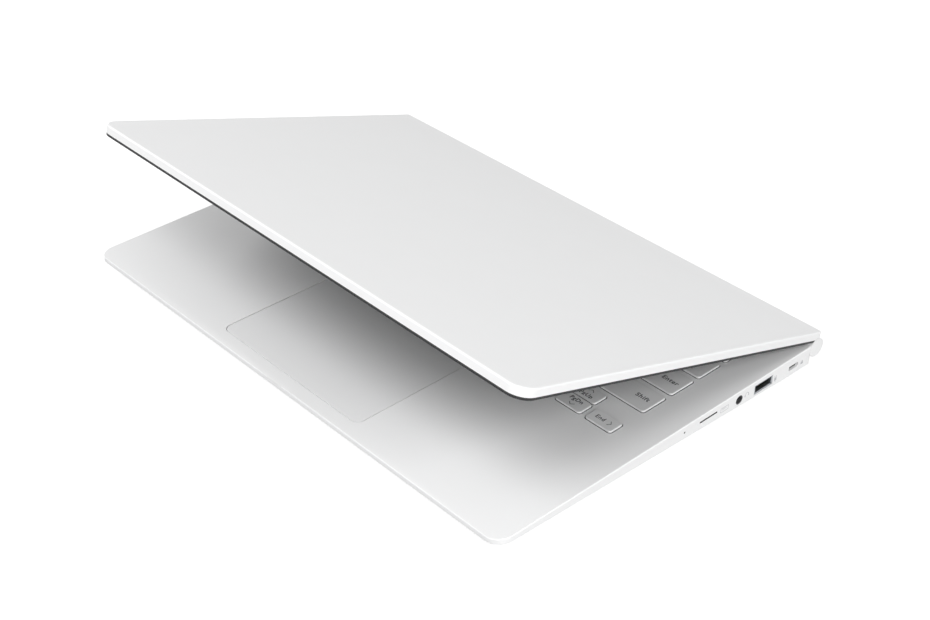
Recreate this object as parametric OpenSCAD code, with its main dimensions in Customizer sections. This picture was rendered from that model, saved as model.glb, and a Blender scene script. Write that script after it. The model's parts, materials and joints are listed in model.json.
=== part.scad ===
// A thin 13.3 inch laptop computer, standing open by a hand's width.
// Every piece is drawn in the deck frame: x = 0 on the centre line, y = 0 at the deck's
// front edge, z = 0 on the deck.  on_feet() then moves it to the model's own frame, whose
// origin lies under the middle of the footprint, on the surface that the feet stand on.
// The lid's pieces are drawn closed, and turned_open() turns them about the hinge axis.

/* [Base] */
// Width of the base and of the lid
body_w = 304.4; // [300:0.2:316]
// Depth of the base, from the front edge to its rear face under the hinge
base_d = 208.2; // [206:0.2:216]
// Height of the base, from its flat underside to the deck
base_h = 10; // [9.9:0.1:10.6]
// Thickness of the deck plate
deck_t = 1.2; // [1:0.05:1.25]
// Thickness of the side walls
wall = 1.4; // [1.1:0.1:1.6]
// Thickness of the bottom cover
cover_t = 1; // [0.9:0.05:1.1]
// Radius of the front corners, seen from above
front_r = 8.5; // [7:0.5:11]
// Radius of the rear corners, seen from above
rear_r = 3; // [2.2:0.1:4]
// Bevel round the edge of the deck
edge_bevel = 0.4; // [0.2:0.05:0.6]
// Height of the side wall at the front edge
band_front = 1.9; // [1.8:0.05:2.4]
// Height of the bottom cover's edge below the side wall at the rear
cover_rear = 1.1; // [1.1:0.05:1.5]
// Distance in front of the rear face at which the side wall has its full height
band_full_in = 22.2; // [12:0.2:38]
// Height of the bottom cover's upright rim below the side wall
rim_h = 0.8; // [0.5:0.05:1]
// Inward run of the undercut below that rim, for each millimetre of height
undercut = 1.1; // [0.9:0.05:1.2]

/* [Hinge] */
// Radius of the hinge barrel
barrel_r = 5.05; // [4.9:0.05:5.3]
// Height of the hinge axis below the deck
axis_drop = 2.66; // [2.4:0.02:2.9]
// Distance of the hinge axis behind the base's rear face
axis_back = 2.9; // [2.7:0.1:3.2]
// Length of each of the two knuckles that stay with the base
knuckle_l = 24; // [22:0.5:28]
// Radius of the steel hinge shafts
shaft_r = 1.9; // [1.6:0.05:2]
// Radial clearance of a shaft in its friction bush
shaft_fit = 0.05; // [0.03:0.01:0.08]
// Gap between a turning piece of the hinge and a fixed one
hinge_gap = 0.3; // [0.25:0.05:0.4]
// Angle between the lid and the deck
lid_open = 18.5; // [0:0.5:135]

/* [Lid] */
// Thickness of the lid's shell, from its rim to its outer face
lid_h = 4.35; // [4.2:0.05:5]
// Thickness of the lid's shell wall
lid_wall = 1.2; // [1:0.05:1.3]
// Radius of the lid's front corners
lid_front_r = 8.5; // [7:0.5:11]
// Radius of the lid's rear corners
lid_rear_r = 2; // [1.5:0.5:4]
// Overhang of the lid beyond the base's front edge, by which a finger lifts it
lid_lip = 0.8; // [0.5:0.1:2]
// Reach of the lid behind the hinge axis
lid_tail = 1; // [0.6:0.1:1.4]
// Width of the soft edge round the lid's outer face
lid_soft = 1.1; // [0.8:0.1:1.2]
// Thickness of the dark bezel at its rim
bezel_t = 1.35; // [1.2:0.05:1.45]
// Height of the recess in the bezel over the keys, inside its rim
bezel_recess = 1.2; // [1:0.05:1.3]
// Gap between the bezel's rim and the deck when the lid is shut
bezel_gap = 0.3; // [0.25:0.05:0.4]

/* [Screen] */
// Width of the dark border on each side of the picture
screen_side = 5.45; // [5:0.05:8]
// Width of the dark border between the lid's front edge and the picture
screen_front = 12; // [11:0.5:14]
// Distance from the picture to the hinge axis
screen_chin = 35.4; // [34:0.2:40]
// Gap between the display panel and the lid's shell
panel_gap = 0.2; // [0.1:0.05:0.4]

/* [Keyboard] */
// Distance between a side of the base and the keyboard
key_side = 17.9; // [17.4:0.1:19]
// Gap between two keycaps
key_gap = 2.95; // [2.6:0.05:3.4]
// Distance from the rear face of the base to the function keys
key_back = 14.55; // [14.2:0.05:15]
// Depth of the half-height function keys
fn_key_d = 8.6; // [8:0.1:9]
// How far the arrow keys come forward of the lowest row
arrow_drop = 2.8; // [2:0.1:3]
// Height of a keycap's top over the deck
key_rise = 0.8; // [0.5:0.05:0.8]
// Height of a keycap
key_h = 2; // [1.8:0.05:2.1]
// Travel of a key
key_travel = 1.2; // [1:0.05:1.2]
// Gap between a keycap and the deck's opening
key_clear = 0.4; // [0.3:0.05:0.5]
// Corner radius of a keycap
key_r = 1.4; // [1:0.1:1.8]

/* [Touchpad] */
// Width of the touchpad
pad_w = 102.4; // [96:0.2:106]
// Distance from the front edge to the touchpad
pad_y = 8.3; // [8:0.1:10]
// Distance between the touchpad and the keyboard
pad_back = 10.7; // [10:0.1:14]
// Corner radius of the touchpad
pad_r = 4; // [3:0.5:5]
// Gap round the touchpad
pad_clear = 0.35; // [0.3:0.05:0.5]
// Thickness of the touchpad
pad_t = 1.6; // [1.4:0.1:1.8]

/* [Ports] */
// Distance from the rear face to the middle of the lock slot
lock_back = 14.4; // [13.8:0.2:15]
// Distance from the rear face to the middle of the right USB socket
usb_back = 36.8; // [36:0.2:38]
// Distance from there forward to the headphone socket
jack_step = 17.6; // [16:0.2:19]
// Distance from there forward to the middle of the memory card slot
card_step = 21.8; // [20:0.2:23]
// Distance from the memory card slot to the pinhole in front of it
pinhole_step = 16.4; // [14:0.2:18]
// Distance from the rear face to the middle of the left USB socket
left_usb_back = 35.7; // [35:0.1:37]
// Distance from there forward to the middle of the video socket
video_step = 17; // [16:0.5:19]
// Distance from there forward to the power inlet
power_step = 16.5; // [15:0.5:18]
// Bore radius of the headphone socket
jack_r = 1.8; // [1.75:0.05:1.9]

/* [Feet] */
// Height of the rubber feet
foot_h = 1.3; // [1:0.1:2]
// Width of a rubber foot
foot_w = 8; // [6:0.5:10]

/* [Inside] */
// Thickness of the main circuit board
board_t = 1; // [0.8:0.1:1.2]
// Gap between the keyboard plate and the pieces under it
under_gap = 0.9; // [0.6:0.1:1.2]
// Outer width of the cooling fan's housing
fan_w = 56; // [52:1:57]
// Radius of the fan's rotor over its blades
rotor_r = 23.5; // [20:0.5:24]
// Number of blades on the fan's rotor
blades = 23; // [15:2:29]

/* [Hidden] */

$fn = 64;
corner_steps = 8;
key_steps = 3;
eps = 0.05;
touch = 0.1;
shell_color = [0.93, 0.93, 0.94];
key_color = [0.88, 0.88, 0.89];
dark_color = [0.16, 0.16, 0.17];
steel_color = [0.62, 0.63, 0.65];
board_color = [0.1, 0.28, 0.2];
black_color = [0.08, 0.08, 0.09];
rotor_color = [0.25, 0.25, 0.27];
glass_color = [0.8, 0.8, 0.81];
copper_color = [0.72, 0.45, 0.3];
fin_color = [0.75, 0.76, 0.78];

// Places that several pieces share
half_w = body_w / 2;
axis_y = base_d + axis_back;
axis_z = -axis_drop;
deck_z = base_h + foot_h;
middle_y = (axis_y + barrel_r) / 2;
floor_z = -base_h + cover_t;
cradle_gap = 0.45;
cradle_r = barrel_r + cradle_gap;
rear_wall_y = axis_y - cradle_r - wall;
band_full_y = base_d - band_full_in;
band_rear = base_h - cover_rear;
lock_y = base_d - lock_back;
usb_y = base_d - usb_back;
jack_y = usb_y - jack_step;
card_y = jack_y - card_step;
pinhole_y = card_y - pinhole_step;
left_usb_y = base_d - left_usb_back;
video_y = left_usb_y - video_step;
power_y = video_y - power_step;
knuckle_x = half_w - knuckle_l;
barrel_x = knuckle_x - hinge_gap;
band_slope = (band_rear - band_front) / band_full_y;

// ---------------------------------------------------------------- the keyboard's measures

row_units = 14.1;
row_half = half_w - key_side;
key_pitch = 2 * row_half / row_units;
key_d = key_pitch - key_gap;
key_bevel = 0.35;
key_top_t = 0.8;
key_skirt = 1;
plunger_r = 2;
plunger_h = 0.35;
sheet_t = 0.3;
plate_t = 0.5;
rim_clear = 1.2;
rim_t = 1.8;
stack_gap = 2;
sheet_z = key_rise - key_h - key_travel - touch;
plate_z = sheet_z - sheet_t;
under_plate_z = plate_z - plate_t;
plunger_z = key_rise - key_top_t - plunger_h;

// Rows above the lowest one
lower_level = 1;
home_level = 2;
upper_level = 3;
number_level = 4;
function_level = 5;
fn_y = base_d - key_back - fn_key_d;
key_y = fn_y - function_level * key_pitch;
arrow_y = key_y - arrow_drop;
arrow_gap = 0.6;
arrow_d = (key_d + arrow_drop - arrow_gap) / 2;
pad_d = arrow_y - pad_back - pad_y;

// Width of each row's first key, in key pitches, and its count of single keys after that
number_units = 0.75;
upper_units = 1.1;
home_units = 1.35;
lower_units = 1.85;
space_units = 5;
number_singles = 12;
upper_singles = 12;
home_singles = 11;
lower_singles = 10;
function_singles = 14;
left_singles = 3;
right_singles = 5;

// ---------------------------------------------------------------- the measures inside

standoff_h = 0.4;
standoff_r = 3;
standoff_edge = 8;
board_z = floor_z + standoff_h;
board_top = board_z + board_t;
room_h = under_plate_z - floor_z;

// The cooling fan, between the board's left ear and the board
left_ear_w = 25;
ear_gap = 5.2;
left_ear_x1 = -half_w + ear_gap + left_ear_w;
fan_x = left_ear_x1 + stack_gap + fan_w / 2;
sink_d = 10;
sink_y1 = rear_wall_y - touch;
sink_y0 = sink_y1 - sink_d;
fan_y = sink_y0 - touch - fan_w / 2;
fan_t = 0.4;
fan_wall = 0.8;
fan_h = room_h - under_gap;
fan_pin_r = 1;
hub_r = 8;
hub_h = fan_h - 3 * fan_t;
blade_t = 0.5;
blade_h = hub_h - fan_t;
blade_lean = 25;
blade_l = (rotor_r - hub_r) / cos(blade_lean) - touch;
spoke_a = 30;
spoke_w = 3;
intake_r = 17;
intake_pitch = 4;
intake_slot = 2;

// The flat heat pipe, which passes the fan on its right
pipe_w = 6;
pipe_bend = 8;
pipe_reach = 12;
pipe_x = fan_x + fan_w / 2 + pipe_w / 2 + stack_gap;

// The board: its ears reach out to the sockets, and its arm passes in front of the fan
board_x0 = pipe_x - pipe_w / 2 + 2 * stack_gap;
board_edge = 15.2;
board_x1 = half_w - board_edge;
board_front = 1.8;
board_y0 = key_y - board_front;
board_rear = 12.2;
board_y1 = rear_wall_y - board_rear;
ear_front = 22;
ear_y0 = card_y - ear_front;
ear_rear = 28.2;
ear_y1 = base_d - ear_rear;
arm_lap = 2;
arm_x0 = left_ear_x1 - arm_lap;
arm_front = 12;
arm_y0 = board_y0 + arm_front;
arm_y1 = fan_y - fan_w / 2 - 2 * stack_gap;
standoff_places = [
    for (x = [board_x0 + standoff_edge, board_x1 - standoff_edge],
         y = [board_y0 + standoff_edge, board_y1 - standoff_edge]) [x, y, 0],
    [left_ear_x1 - left_ear_w / 2, power_y, 0]
];

card_t = 0.8;
drive_l = 80;
drive_in = 11;
drive_back = 54;
drive_x = board_x1 - drive_in - drive_l;
drive_y = board_y1 - drive_back;
cpu_gap = 24;
cpu_back = 42;
cpu_x = drive_x - cpu_gap;
cpu_y = board_y1 - cpu_back;
cpu_w = 28;
cpu_d = 24;
cpu_h = 1.2;
cold_plate_t = 0.8;
cold_plate_edge = 4;
pipe_z = board_top + cpu_h + cold_plate_t;
pipe_h = under_plate_z - touch - pipe_z;
chip_h = 1;
power_chips = 4;
power_chip_w = 12;
power_chip_d = 10;
power_chip_pitch = 17;

sink_x0 = fan_x - fan_w / 2 + stack_gap;
sink_x1 = fan_x + fan_w / 2 - stack_gap;
sink_z = floor_z + standoff_h;
fin_t = 0.4;
slot_pitch = 4;
slot_gap = 1.2;
exhaust_h = 2.4;

// Moves a piece from the deck frame to the model's frame
module on_feet() {
    translate([0, -middle_y, deck_z]) children();
}

// Turns a piece of the shut lid about the hinge axis to its open place
module turned_open() {
    on_feet()
        translate([0, axis_y, axis_z])
            rotate([-lid_open, 0, 0])
                translate([0, -axis_y, -axis_z])
                    children();
}

// ---------------------------------------------------------------- outlines and lofts

// A quarter of a rounded corner: each point is [x, y, outward x, outward y]
function corner(cx, cy, r, start, steps) = [
    for (i = [0 : steps])
        let (a = start + 90 * i / steps)
            [cx + r * cos(a), cy + r * sin(a), cos(a), sin(a)]
];

// A rounded rectangle with one radius at its front corners and one at its rear corners.
// "side" adds a point at that y on both straight sides.
function rounded(x0, x1, y0, y1, front, rear, steps = corner_steps,
                 side = undef) = concat(
    corner(x1 - front, y0 + front, front, -90, steps),
    is_undef(side) ? [] : [[x1, side, 1, 0]],
    corner(x1 - rear, y1 - rear, rear, 0, steps),
    corner(x0 + rear, y1 - rear, rear, 90, steps),
    is_undef(side) ? [] : [[x0, side, -1, 0]],
    corner(x0 + front, y0 + front, front, 180, steps)
);

// The outline moved inwards by d, as points of a flat polygon
function inset(o, d) = [for (p = o) [p[0] - p[2] * d, p[1] - p[3] * d]];

// The outline moved inwards by d, as a ring of points at height z
function ring(o, d, z) = [for (p = inset(o, d)) [p[0], p[1], z]];

// A closed solid through rings of equal length, listed from the lowest to the highest
module loft(rings) {
    n = len(rings[0]);
    m = len(rings);
    sides = [
        for (k = [0 : m - 2], i = [0 : n - 1])
            let (j = (i + 1) % n, a = k * n, b = a + n)
                each [[a + i, b + i, b + j], [a + i, b + j, a + j]]
    ];
    bottom = [[for (i = [0 : n - 1]) i]];
    top = [[for (i = [n - 1 : -1 : 0]) (m - 1) * n + i]];
    polyhedron(points = [for (r = rings) each r], faces = concat(bottom, sides, top));
}

// A block between two corners
module block(low, high) {
    translate(low) cube(high - low);
}

// A flat rectangle between two corners
module area(low, high) {
    translate(low) square(high - low);
}

// A flat outline given as [y, z], carried along x from x0 to x1
module along_x(x0, x1) {
    translate([x0, 0, 0]) rotate([90, 0, 90]) linear_extrude(x1 - x0) children();
}

// A round bar along x at the hinge axis
module axle(r, x0, x1) {
    translate([x0, axis_y, axis_z]) rotate([0, 90, 0]) cylinder(r = r, h = x1 - x0);
}

// A round bar along x through the point [y, z]
module bar(y, z, r, x0, x1) {
    translate([x0, y, z]) rotate([0, 90, 0]) cylinder(r = r, h = x1 - x0);
}

// Copies at each point of a list
module at(points) {
    for (p = points) translate(p) children();
}

// The same piece on the right (side = 1) or on the left (side = -1)
module on_side(side) {
    if (side > 0) children();
    else mirror([1, 0, 0]) children();
}

// ---------------------------------------------------------------- the base's casing

base_outline = rounded(-half_w, half_w, 0, base_d, front_r, rear_r, side = band_full_y);

// Height of the side wall at a distance y behind the front edge
function band(y) = band_front + band_slope * min(y, band_full_y);

// Inward run of the undercut at y, down to the flat underside
function tuck(y) = max(0, base_h - band(y) - rim_h) * undercut;

// Rings of the bottom cover's outer and inner skins: at the flat underside, and where the
// undercut meets the upright rim
function belly_ring(side_t) = [
    for (p = base_outline)
        let (d = side_t > 0 ? max(wall, tuck(p[1]) + side_t) : tuck(p[1]))
            [p[0] - p[2] * d, p[1] - p[3] * d, side_t > 0 ? floor_z : -base_h]
];
function rim_ring(side_t, least) = [
    for (p = base_outline)
        let (y = p[1] - p[3] * side_t)
            [p[0] - p[2] * side_t, y, max(-band(y) - rim_h, least)]
];

// Everything above the sloping line between the side walls and the bottom cover
module above_parting() {
    along_x(-half_w - touch, half_w + touch)
        polygon([
            [-touch, touch],
            [-touch, -band(0)],
            [0, -band(0)],
            [band_full_y, -band_rear],
            [base_d + touch, -band_rear],
            [base_d + touch, touch]
        ]);
}

// The round hollow behind the base in which the barrel and the knuckles lie
module cradle() {
    axle(cradle_r, -knuckle_x, knuckle_x);
    for (side = [-1, 1]) on_side(side) axle(barrel_r + eps, knuckle_x - eps, half_w + touch);
}

cavity_outline = rounded(-half_w + wall, half_w - wall, wall, rear_wall_y,
                         front_r - wall, rear_r - wall);
pad_outline = rounded(-pad_w / 2, pad_w / 2, pad_y, pad_y + pad_d, pad_r, pad_r);

module top_case() {
    on_feet() color(shell_color) difference() {
        union() {
            difference() {
                intersection() {
                    loft([
                        ring(base_outline, 0, -base_h),
                        ring(base_outline, 0, -edge_bevel),
                        ring(base_outline, edge_bevel, 0)
                    ]);
                    above_parting();
                }
                translate([0, 0, -base_h - touch])
                    linear_extrude(base_h + touch - deck_t) polygon(inset(cavity_outline, 0));
            }
            keyboard_rim();
            at(screw_places) case_boss();
            for (side = [-1, 1]) on_side(side) at(bracket_places) bracket_boss();
        }
        translate([0, 0, -deck_t - touch]) linear_extrude(deck_t + 2 * touch) {
            for (b = all_keys) polygon(inset(key_outline(b), -key_clear));
            polygon(inset(pad_outline, -pad_clear));
            polygon(inset(button_outline, -key_clear));
        }
        at(screw_places) translate([0, 0, floor_z - touch])
            cylinder(r = screw_r + eps, h = screw_l);
        cradle();
        for (side = [-1, 1]) on_side(side) {
            knuckle_slot();
            at(bracket_places) translate([0, 0, bracket_z])
                translate([0, 0, -touch]) cylinder(r = small_screw_r + eps, h = small_screw_l);
        }
        exhaust_slots();
        port_openings();
    }
}

// The upright rim under the deck that the keyboard plate is screwed to
module keyboard_rim() {
    translate([0, 0, plate_z]) linear_extrude(-plate_z - deck_t + eps) difference() {
        polygon(inset(keyboard_outline, -rim_clear - rim_t));
        polygon(inset(keyboard_outline, -rim_clear));
    }
}

// A boss from the deck down to the bottom cover's floor
module case_boss() {
    translate([0, 0, floor_z]) cylinder(r = boss_r, h = -floor_z - deck_t + eps);
}

// A short boss that a hinge bracket is screwed to
module bracket_boss() {
    translate([0, 0, bracket_z + bracket_t])
        cylinder(r = small_boss_r, h = -bracket_z - bracket_t - deck_t + eps);
}

// Slots in the rear wall that let the fan's air out past the barrel
module exhaust_slots() {
    slots = floor((sink_x1 - sink_x0) / slot_pitch);
    for (i = [0 : slots - 1])
        block([sink_x0 + i * slot_pitch + slot_gap, rear_wall_y - touch, sink_z],
              [sink_x0 + (i + 1) * slot_pitch, base_d + touch, sink_z + exhaust_h]);
}

// The slot in the rear wall for a knuckle's tongue and the hinge bracket's arm
module knuckle_slot() {
    block([bracket_x - tongue_w / 2 - touch, rear_wall_y - touch, bracket_z - tongue_t - touch],
          [bracket_x + tongue_w / 2 + touch, base_d + touch, bracket_z - touch]);
    block([bracket_x - bracket_w / 2 - hinge_gap, rear_wall_y - touch, bracket_z - touch - eps],
          [bracket_x + bracket_w / 2 + hinge_gap, base_d + touch,
           bracket_z + bracket_t + hinge_gap]);
}

module bottom_cover() {
    on_feet() color(shell_color) difference() {
        union() {
            difference() {
                loft([
                    belly_ring(0),
                    rim_ring(0, -base_h + eps),
                    ring(base_outline, 0, -touch)
                ]);
                loft([
                    belly_ring(cover_t),
                    rim_ring(wall, floor_z + eps),
                    ring(base_outline, wall, 0)
                ]);
                above_parting();
            }
            at(standoff_places) translate([0, 0, floor_z - eps])
                cylinder(r = standoff_r, h = standoff_h + eps);
        }
        at(screw_places) translate([0, 0, -base_h - touch]) {
            cylinder(r = screw_r + 2 * eps, h = cover_t + 2 * touch);
            cylinder(r = head_r + touch, h = head_h + touch);
        }
        cradle();
        fan_intake();
        speaker_slots();
    }
}

// Parallel slots under the fan, within a circle
module fan_intake() {
    reach = floor(intake_r / intake_pitch);
    for (i = [-reach : reach])
        let (half = sqrt(pow(intake_r, 2) - pow(i * intake_pitch, 2)))
            block([fan_x + i * intake_pitch - intake_slot / 2, fan_y - half, -base_h - touch],
                  [fan_x + i * intake_pitch + intake_slot / 2, fan_y + half, floor_z + touch]);
}

// Short slots under each speaker
module speaker_slots() {
    for (side = [-1, 1]) on_side(side)
        for (i = [0 : speaker_slot_count - 1])
            let (y = speaker_y + speaker_l / 2 + (i - (speaker_slot_count - 1) / 2) * intake_pitch)
                block([speaker_x + speaker_w / 4, y - intake_slot / 2, -base_h - touch],
                      [speaker_x + speaker_w * 3 / 4, y + intake_slot / 2, floor_z + touch]);
}

screw_r = 1;
screw_l = 5;
head_r = 2.2;
head_h = 0.6;
hexagon_r = 0.9;
boss_r = 2.6;

// Places of the case screws: beside the battery, at the sides, under the front of the
// keyboard and along the rear wall
corner_screw_in = 22.2;
corner_screw_y = 14;
side_screw_in = 8.2;
side_screw_back = 108.2;
middle_screw_x = 62;
middle_screw_in = 5.8;
rear_screw_in = 3.7;
rear_screw_gap = 13;
rear_screw_x = -pipe_x - rear_screw_gap;
screw_places = [
    for (side = [-1, 1]) each [
        [side * (half_w - corner_screw_in), corner_screw_y, 0],
        [side * (half_w - side_screw_in), base_d - side_screw_back, 0],
        [side * middle_screw_x, arrow_y - middle_screw_in, 0],
        [side * rear_screw_x, rear_wall_y - rear_screw_in, 0]
    ]
];

module case_screws() {
    on_feet() color(steel_color) at(screw_places) translate([0, 0, -base_h]) difference() {
        union() {
            cylinder(r = head_r, h = head_h);
            cylinder(r = screw_r, h = screw_l);
        }
        translate([0, 0, -touch]) cylinder(r = hexagon_r, h = head_h / 2 + touch, $fn = 6);
    }
}

foot_l = 36;
foot_in = 54.2;
foot_x = half_w - foot_in;
foot_front_y = 16;
foot_rear_in = 16.2;

module rubber_feet() {
    on_feet() color(black_color)
        for (x = [-foot_x, foot_x], y = [foot_front_y, base_d - foot_rear_in])
            translate([x, y, -base_h - foot_h]) linear_extrude(foot_h) {
                square([foot_l - foot_w, foot_w], center = true);
                for (end = [-1, 1])
                    translate([end * (foot_l - foot_w) / 2, 0]) circle(r = foot_w / 2);
            }
}

// ---------------------------------------------------------------- the keyboard

function singles(n) = [for (i = [1 : n]) 1];

// A row's key widths in key pitches: one key, n single keys, and one that fills the row
function row_of(first, n) = concat([first], singles(n), [row_units - n - first]);
number_row = row_of(number_units, number_singles);
upper_row = row_of(upper_units, upper_singles);
home_row = row_of(home_units, home_singles);
lower_row = row_of(lower_units, lower_singles);
bottom_row = concat([row_units - space_units - left_singles - right_singles],
                    singles(left_singles), [space_units], singles(right_singles));
function_row = row_units / function_singles * singles(function_singles);
space_i = left_singles + 1;
left_i = len(bottom_row) - right_singles + 2;
down_i = left_i + 1;
right_i = down_i + 1;

function sum_before(row, i) = i == 0 ? 0 : row[i - 1] + sum_before(row, i - 1);

// The boxes [x0, x1, y0, y1] of the keys from first to last in a row
function keys(row, y, d, first, last) = [
    for (i = [first : last])
        let (x = -row_half + sum_before(row, i) * key_pitch)
            [x + key_gap / 2, x + row[i] * key_pitch - key_gap / 2, y, y + d]
];
function full_row(row, level, first, last) =
    keys(row, key_y + level * key_pitch, key_d, first, last);

function last_key(row, level) = full_row(row, level, len(row) - 1, len(row) - 1);
function all_but_last(row, level) = full_row(row, level, 0, len(row) - 2);
function arrow(i, y) = keys(bottom_row, y, arrow_d, i, i);

function_boxes = keys(function_row, fn_y, fn_key_d, 0, function_singles - 1);
number_boxes = all_but_last(number_row, number_level);
backspace_boxes = last_key(number_row, number_level);
upper_boxes = all_but_last(upper_row, upper_level);
backslash_boxes = last_key(upper_row, upper_level);
home_boxes = all_but_last(home_row, home_level);
enter_boxes = last_key(home_row, home_level);
lower_boxes = all_but_last(lower_row, lower_level);
shift_boxes = last_key(lower_row, lower_level);
modifier_boxes = concat(full_row(bottom_row, 0, 0, space_i - 1),
                        full_row(bottom_row, 0, space_i + 1, left_i - 1));
space_boxes = full_row(bottom_row, 0, space_i, space_i);
left_boxes = arrow(left_i, arrow_y);
down_boxes = arrow(down_i, arrow_y);
up_boxes = arrow(down_i, arrow_y + arrow_d + arrow_gap);
right_boxes = arrow(right_i, arrow_y);
all_keys = concat(function_boxes, number_boxes, backspace_boxes, upper_boxes,
                  backslash_boxes, home_boxes, enter_boxes, lower_boxes, shift_boxes,
                  modifier_boxes, space_boxes, left_boxes, down_boxes, up_boxes, right_boxes);

function key_outline(b) = rounded(b[0], b[1], b[2], b[3], key_r, key_r, key_steps);
function key_middle(b) = [(b[0] + b[1]) / 2, (b[2] + b[3]) / 2];

keyboard_outline = rounded(-row_half + key_gap / 2, row_half - key_gap / 2,
                           arrow_y, fn_y + fn_key_d, key_r, key_r, key_steps);

// Keycaps with a bevelled top, a hollow underside and a plunger over the dome
module keycaps(boxes) {
    on_feet() color(key_color) for (b = boxes) {
        o = key_outline(b);
        difference() {
            loft([
                ring(o, 0, key_rise - key_h),
                ring(o, 0, key_rise - key_bevel),
                ring(o, key_bevel, key_rise)
            ]);
            translate([0, 0, key_rise - key_h - touch])
                linear_extrude(key_h - key_top_t + touch) polygon(inset(o, key_skirt));
        }
        translate(concat(key_middle(b), plunger_z))
            cylinder(r = plunger_r, h = plunger_h + eps);
    }
}

module function_keys() { keycaps(function_boxes); }
module number_keys() { keycaps(number_boxes); }
module backspace_key() { keycaps(backspace_boxes); }
module upper_letter_keys() { keycaps(upper_boxes); }
module backslash_key() { keycaps(backslash_boxes); }
module home_letter_keys() { keycaps(home_boxes); }
module enter_key() { keycaps(enter_boxes); }
module lower_letter_keys() { keycaps(lower_boxes); }
module right_shift_key() { keycaps(shift_boxes); }
module modifier_keys() { keycaps(modifier_boxes); }
module space_bar() { keycaps(space_boxes); }
module left_arrow_key() { keycaps(left_boxes); }
module up_arrow_key() { keycaps(up_boxes); }
module down_arrow_key() { keycaps(down_boxes); }
module right_arrow_key() { keycaps(right_boxes); }

// The power button behind the left end of the function keys
button_w = 13;
button_d = 4.4;
button_r = 1.2;
button_travel = 0.4;
button_stud_r = 1;
button_h = 1.5;
button_stud_z = -key_top_t - plunger_h;
button_x = -row_half + button_w / 2 + key_gap;
button_y = (fn_y + fn_key_d + rim_clear + rim_t + rear_wall_y) / 2;
button_outline = rounded(button_x - button_w / 2, button_x + button_w / 2,
                         button_y - button_d / 2, button_y + button_d / 2,
                         button_r, button_r, key_steps);

module power_button() {
    on_feet() color(key_color) {
        difference() {
            loft([
                ring(button_outline, 0, -button_h),
                ring(button_outline, 0, -edge_bevel),
                ring(button_outline, edge_bevel, 0)
            ]);
            translate([0, 0, -button_h - touch]) linear_extrude(button_h - key_top_t + touch)
                polygon(inset(button_outline, key_skirt));
        }
        translate([button_x, button_y, button_stud_z])
            cylinder(r = button_stud_r, h = plunger_h + eps);
    }
}

// The steel plate under the keys, with a tab under the power button
module keyboard_plate() {
    on_feet() color(steel_color) translate([0, 0, plate_z - plate_t]) linear_extrude(plate_t) {
        polygon(inset(keyboard_outline, -rim_clear - rim_t));
        translate([button_x, button_y - button_d / 2])
            square([button_w + stack_gap, button_d * 2], center = true);
    }
}

// A silicone sheet with a dome under each key, at the height of a pressed dome
module dome_sheet() {
    dome_h = plunger_z - key_travel - eps - sheet_z;
    on_feet() color(dark_color) {
        translate([0, 0, plate_z]) linear_extrude(sheet_t)
            polygon(inset(keyboard_outline, -rim_clear + touch));
        for (b = all_keys)
            translate(concat(key_middle(b), sheet_z - eps))
                cylinder(r1 = plunger_r + 1, r2 = plunger_r, h = dome_h + eps);
        translate([button_x, button_y, plate_z])
            cylinder(r = button_stud_r, h = button_stud_z - button_travel - eps - plate_z);
    }
}

// ---------------------------------------------------------------- the touchpad

pad_drop = 0.1;
pad_tilt = 0.35;
pad_frame_t = 0.8;
pad_frame_gap = 0.8;
pad_frame_wall = 2;
pad_switch_r = 2.5;
pad_switch_share = 0.2;
pad_rest_r = 2;
pad_rest_in = 3;
pad_dip = pad_d * sin(pad_tilt);
pad_frame_z = -pad_drop - pad_t - pad_dip - touch - pad_frame_t;

module touchpad() {
    on_feet() color(glass_color) loft([
        ring(pad_outline, 0, -pad_drop - pad_t),
        ring(pad_outline, 0, -2 * pad_drop),
        ring(pad_outline, pad_drop, -pad_drop)
    ]);
}

// The frame under the touchpad: a tray on the deck's underside, with a switch near the
// front and two rests that the pad tilts on at the rear
module touchpad_frame() {
    on_feet() color(steel_color) {
        difference() {
            translate([0, 0, pad_frame_z]) linear_extrude(-deck_t - pad_frame_z)
                polygon(inset(pad_outline, -pad_frame_gap - pad_frame_wall));
            translate([0, 0, pad_frame_z + pad_frame_t]) linear_extrude(base_h)
                polygon(inset(pad_outline, -pad_frame_gap));
        }
        translate([0, pad_y + pad_d * pad_switch_share, pad_frame_z + eps])
            cylinder(r = pad_switch_r, h = pad_frame_t);
        for (x = [-pad_w / 3, pad_w / 3])
            translate([x, pad_y + pad_d - pad_rest_in, pad_frame_z])
                cylinder(r = pad_rest_r, h = -pad_drop - pad_t - touch - pad_frame_z);
    }
}

// ---------------------------------------------------------------- inside the base

// The main board, with its arm round the fan to the left sockets and its chips
module mainboard() {
    on_feet() {
        color(board_color) translate([0, 0, board_z]) linear_extrude(board_t) {
            area([board_x0, board_y0], [board_x1, board_y1]);
            area([board_x1 - eps, ear_y0], [half_w - ear_gap, ear_y1]);
            area([arm_x0, arm_y0], [board_x0 + eps, arm_y1]);
            area([-half_w + ear_gap, arm_y1 - 2 * arm_lap], [left_ear_x1, ear_y1]);
        }
        color(dark_color) {
            translate([cpu_x, cpu_y, board_top - eps])
                linear_extrude(cpu_h + eps) square([cpu_w, cpu_d], center = true);
            for (i = [0 : power_chips - 1])
                translate([board_x0 + standoff_edge + i * power_chip_pitch, arm_y0, board_top - eps])
                    cube([power_chip_w, power_chip_d, chip_h + eps]);
        }
    }
}

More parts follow.
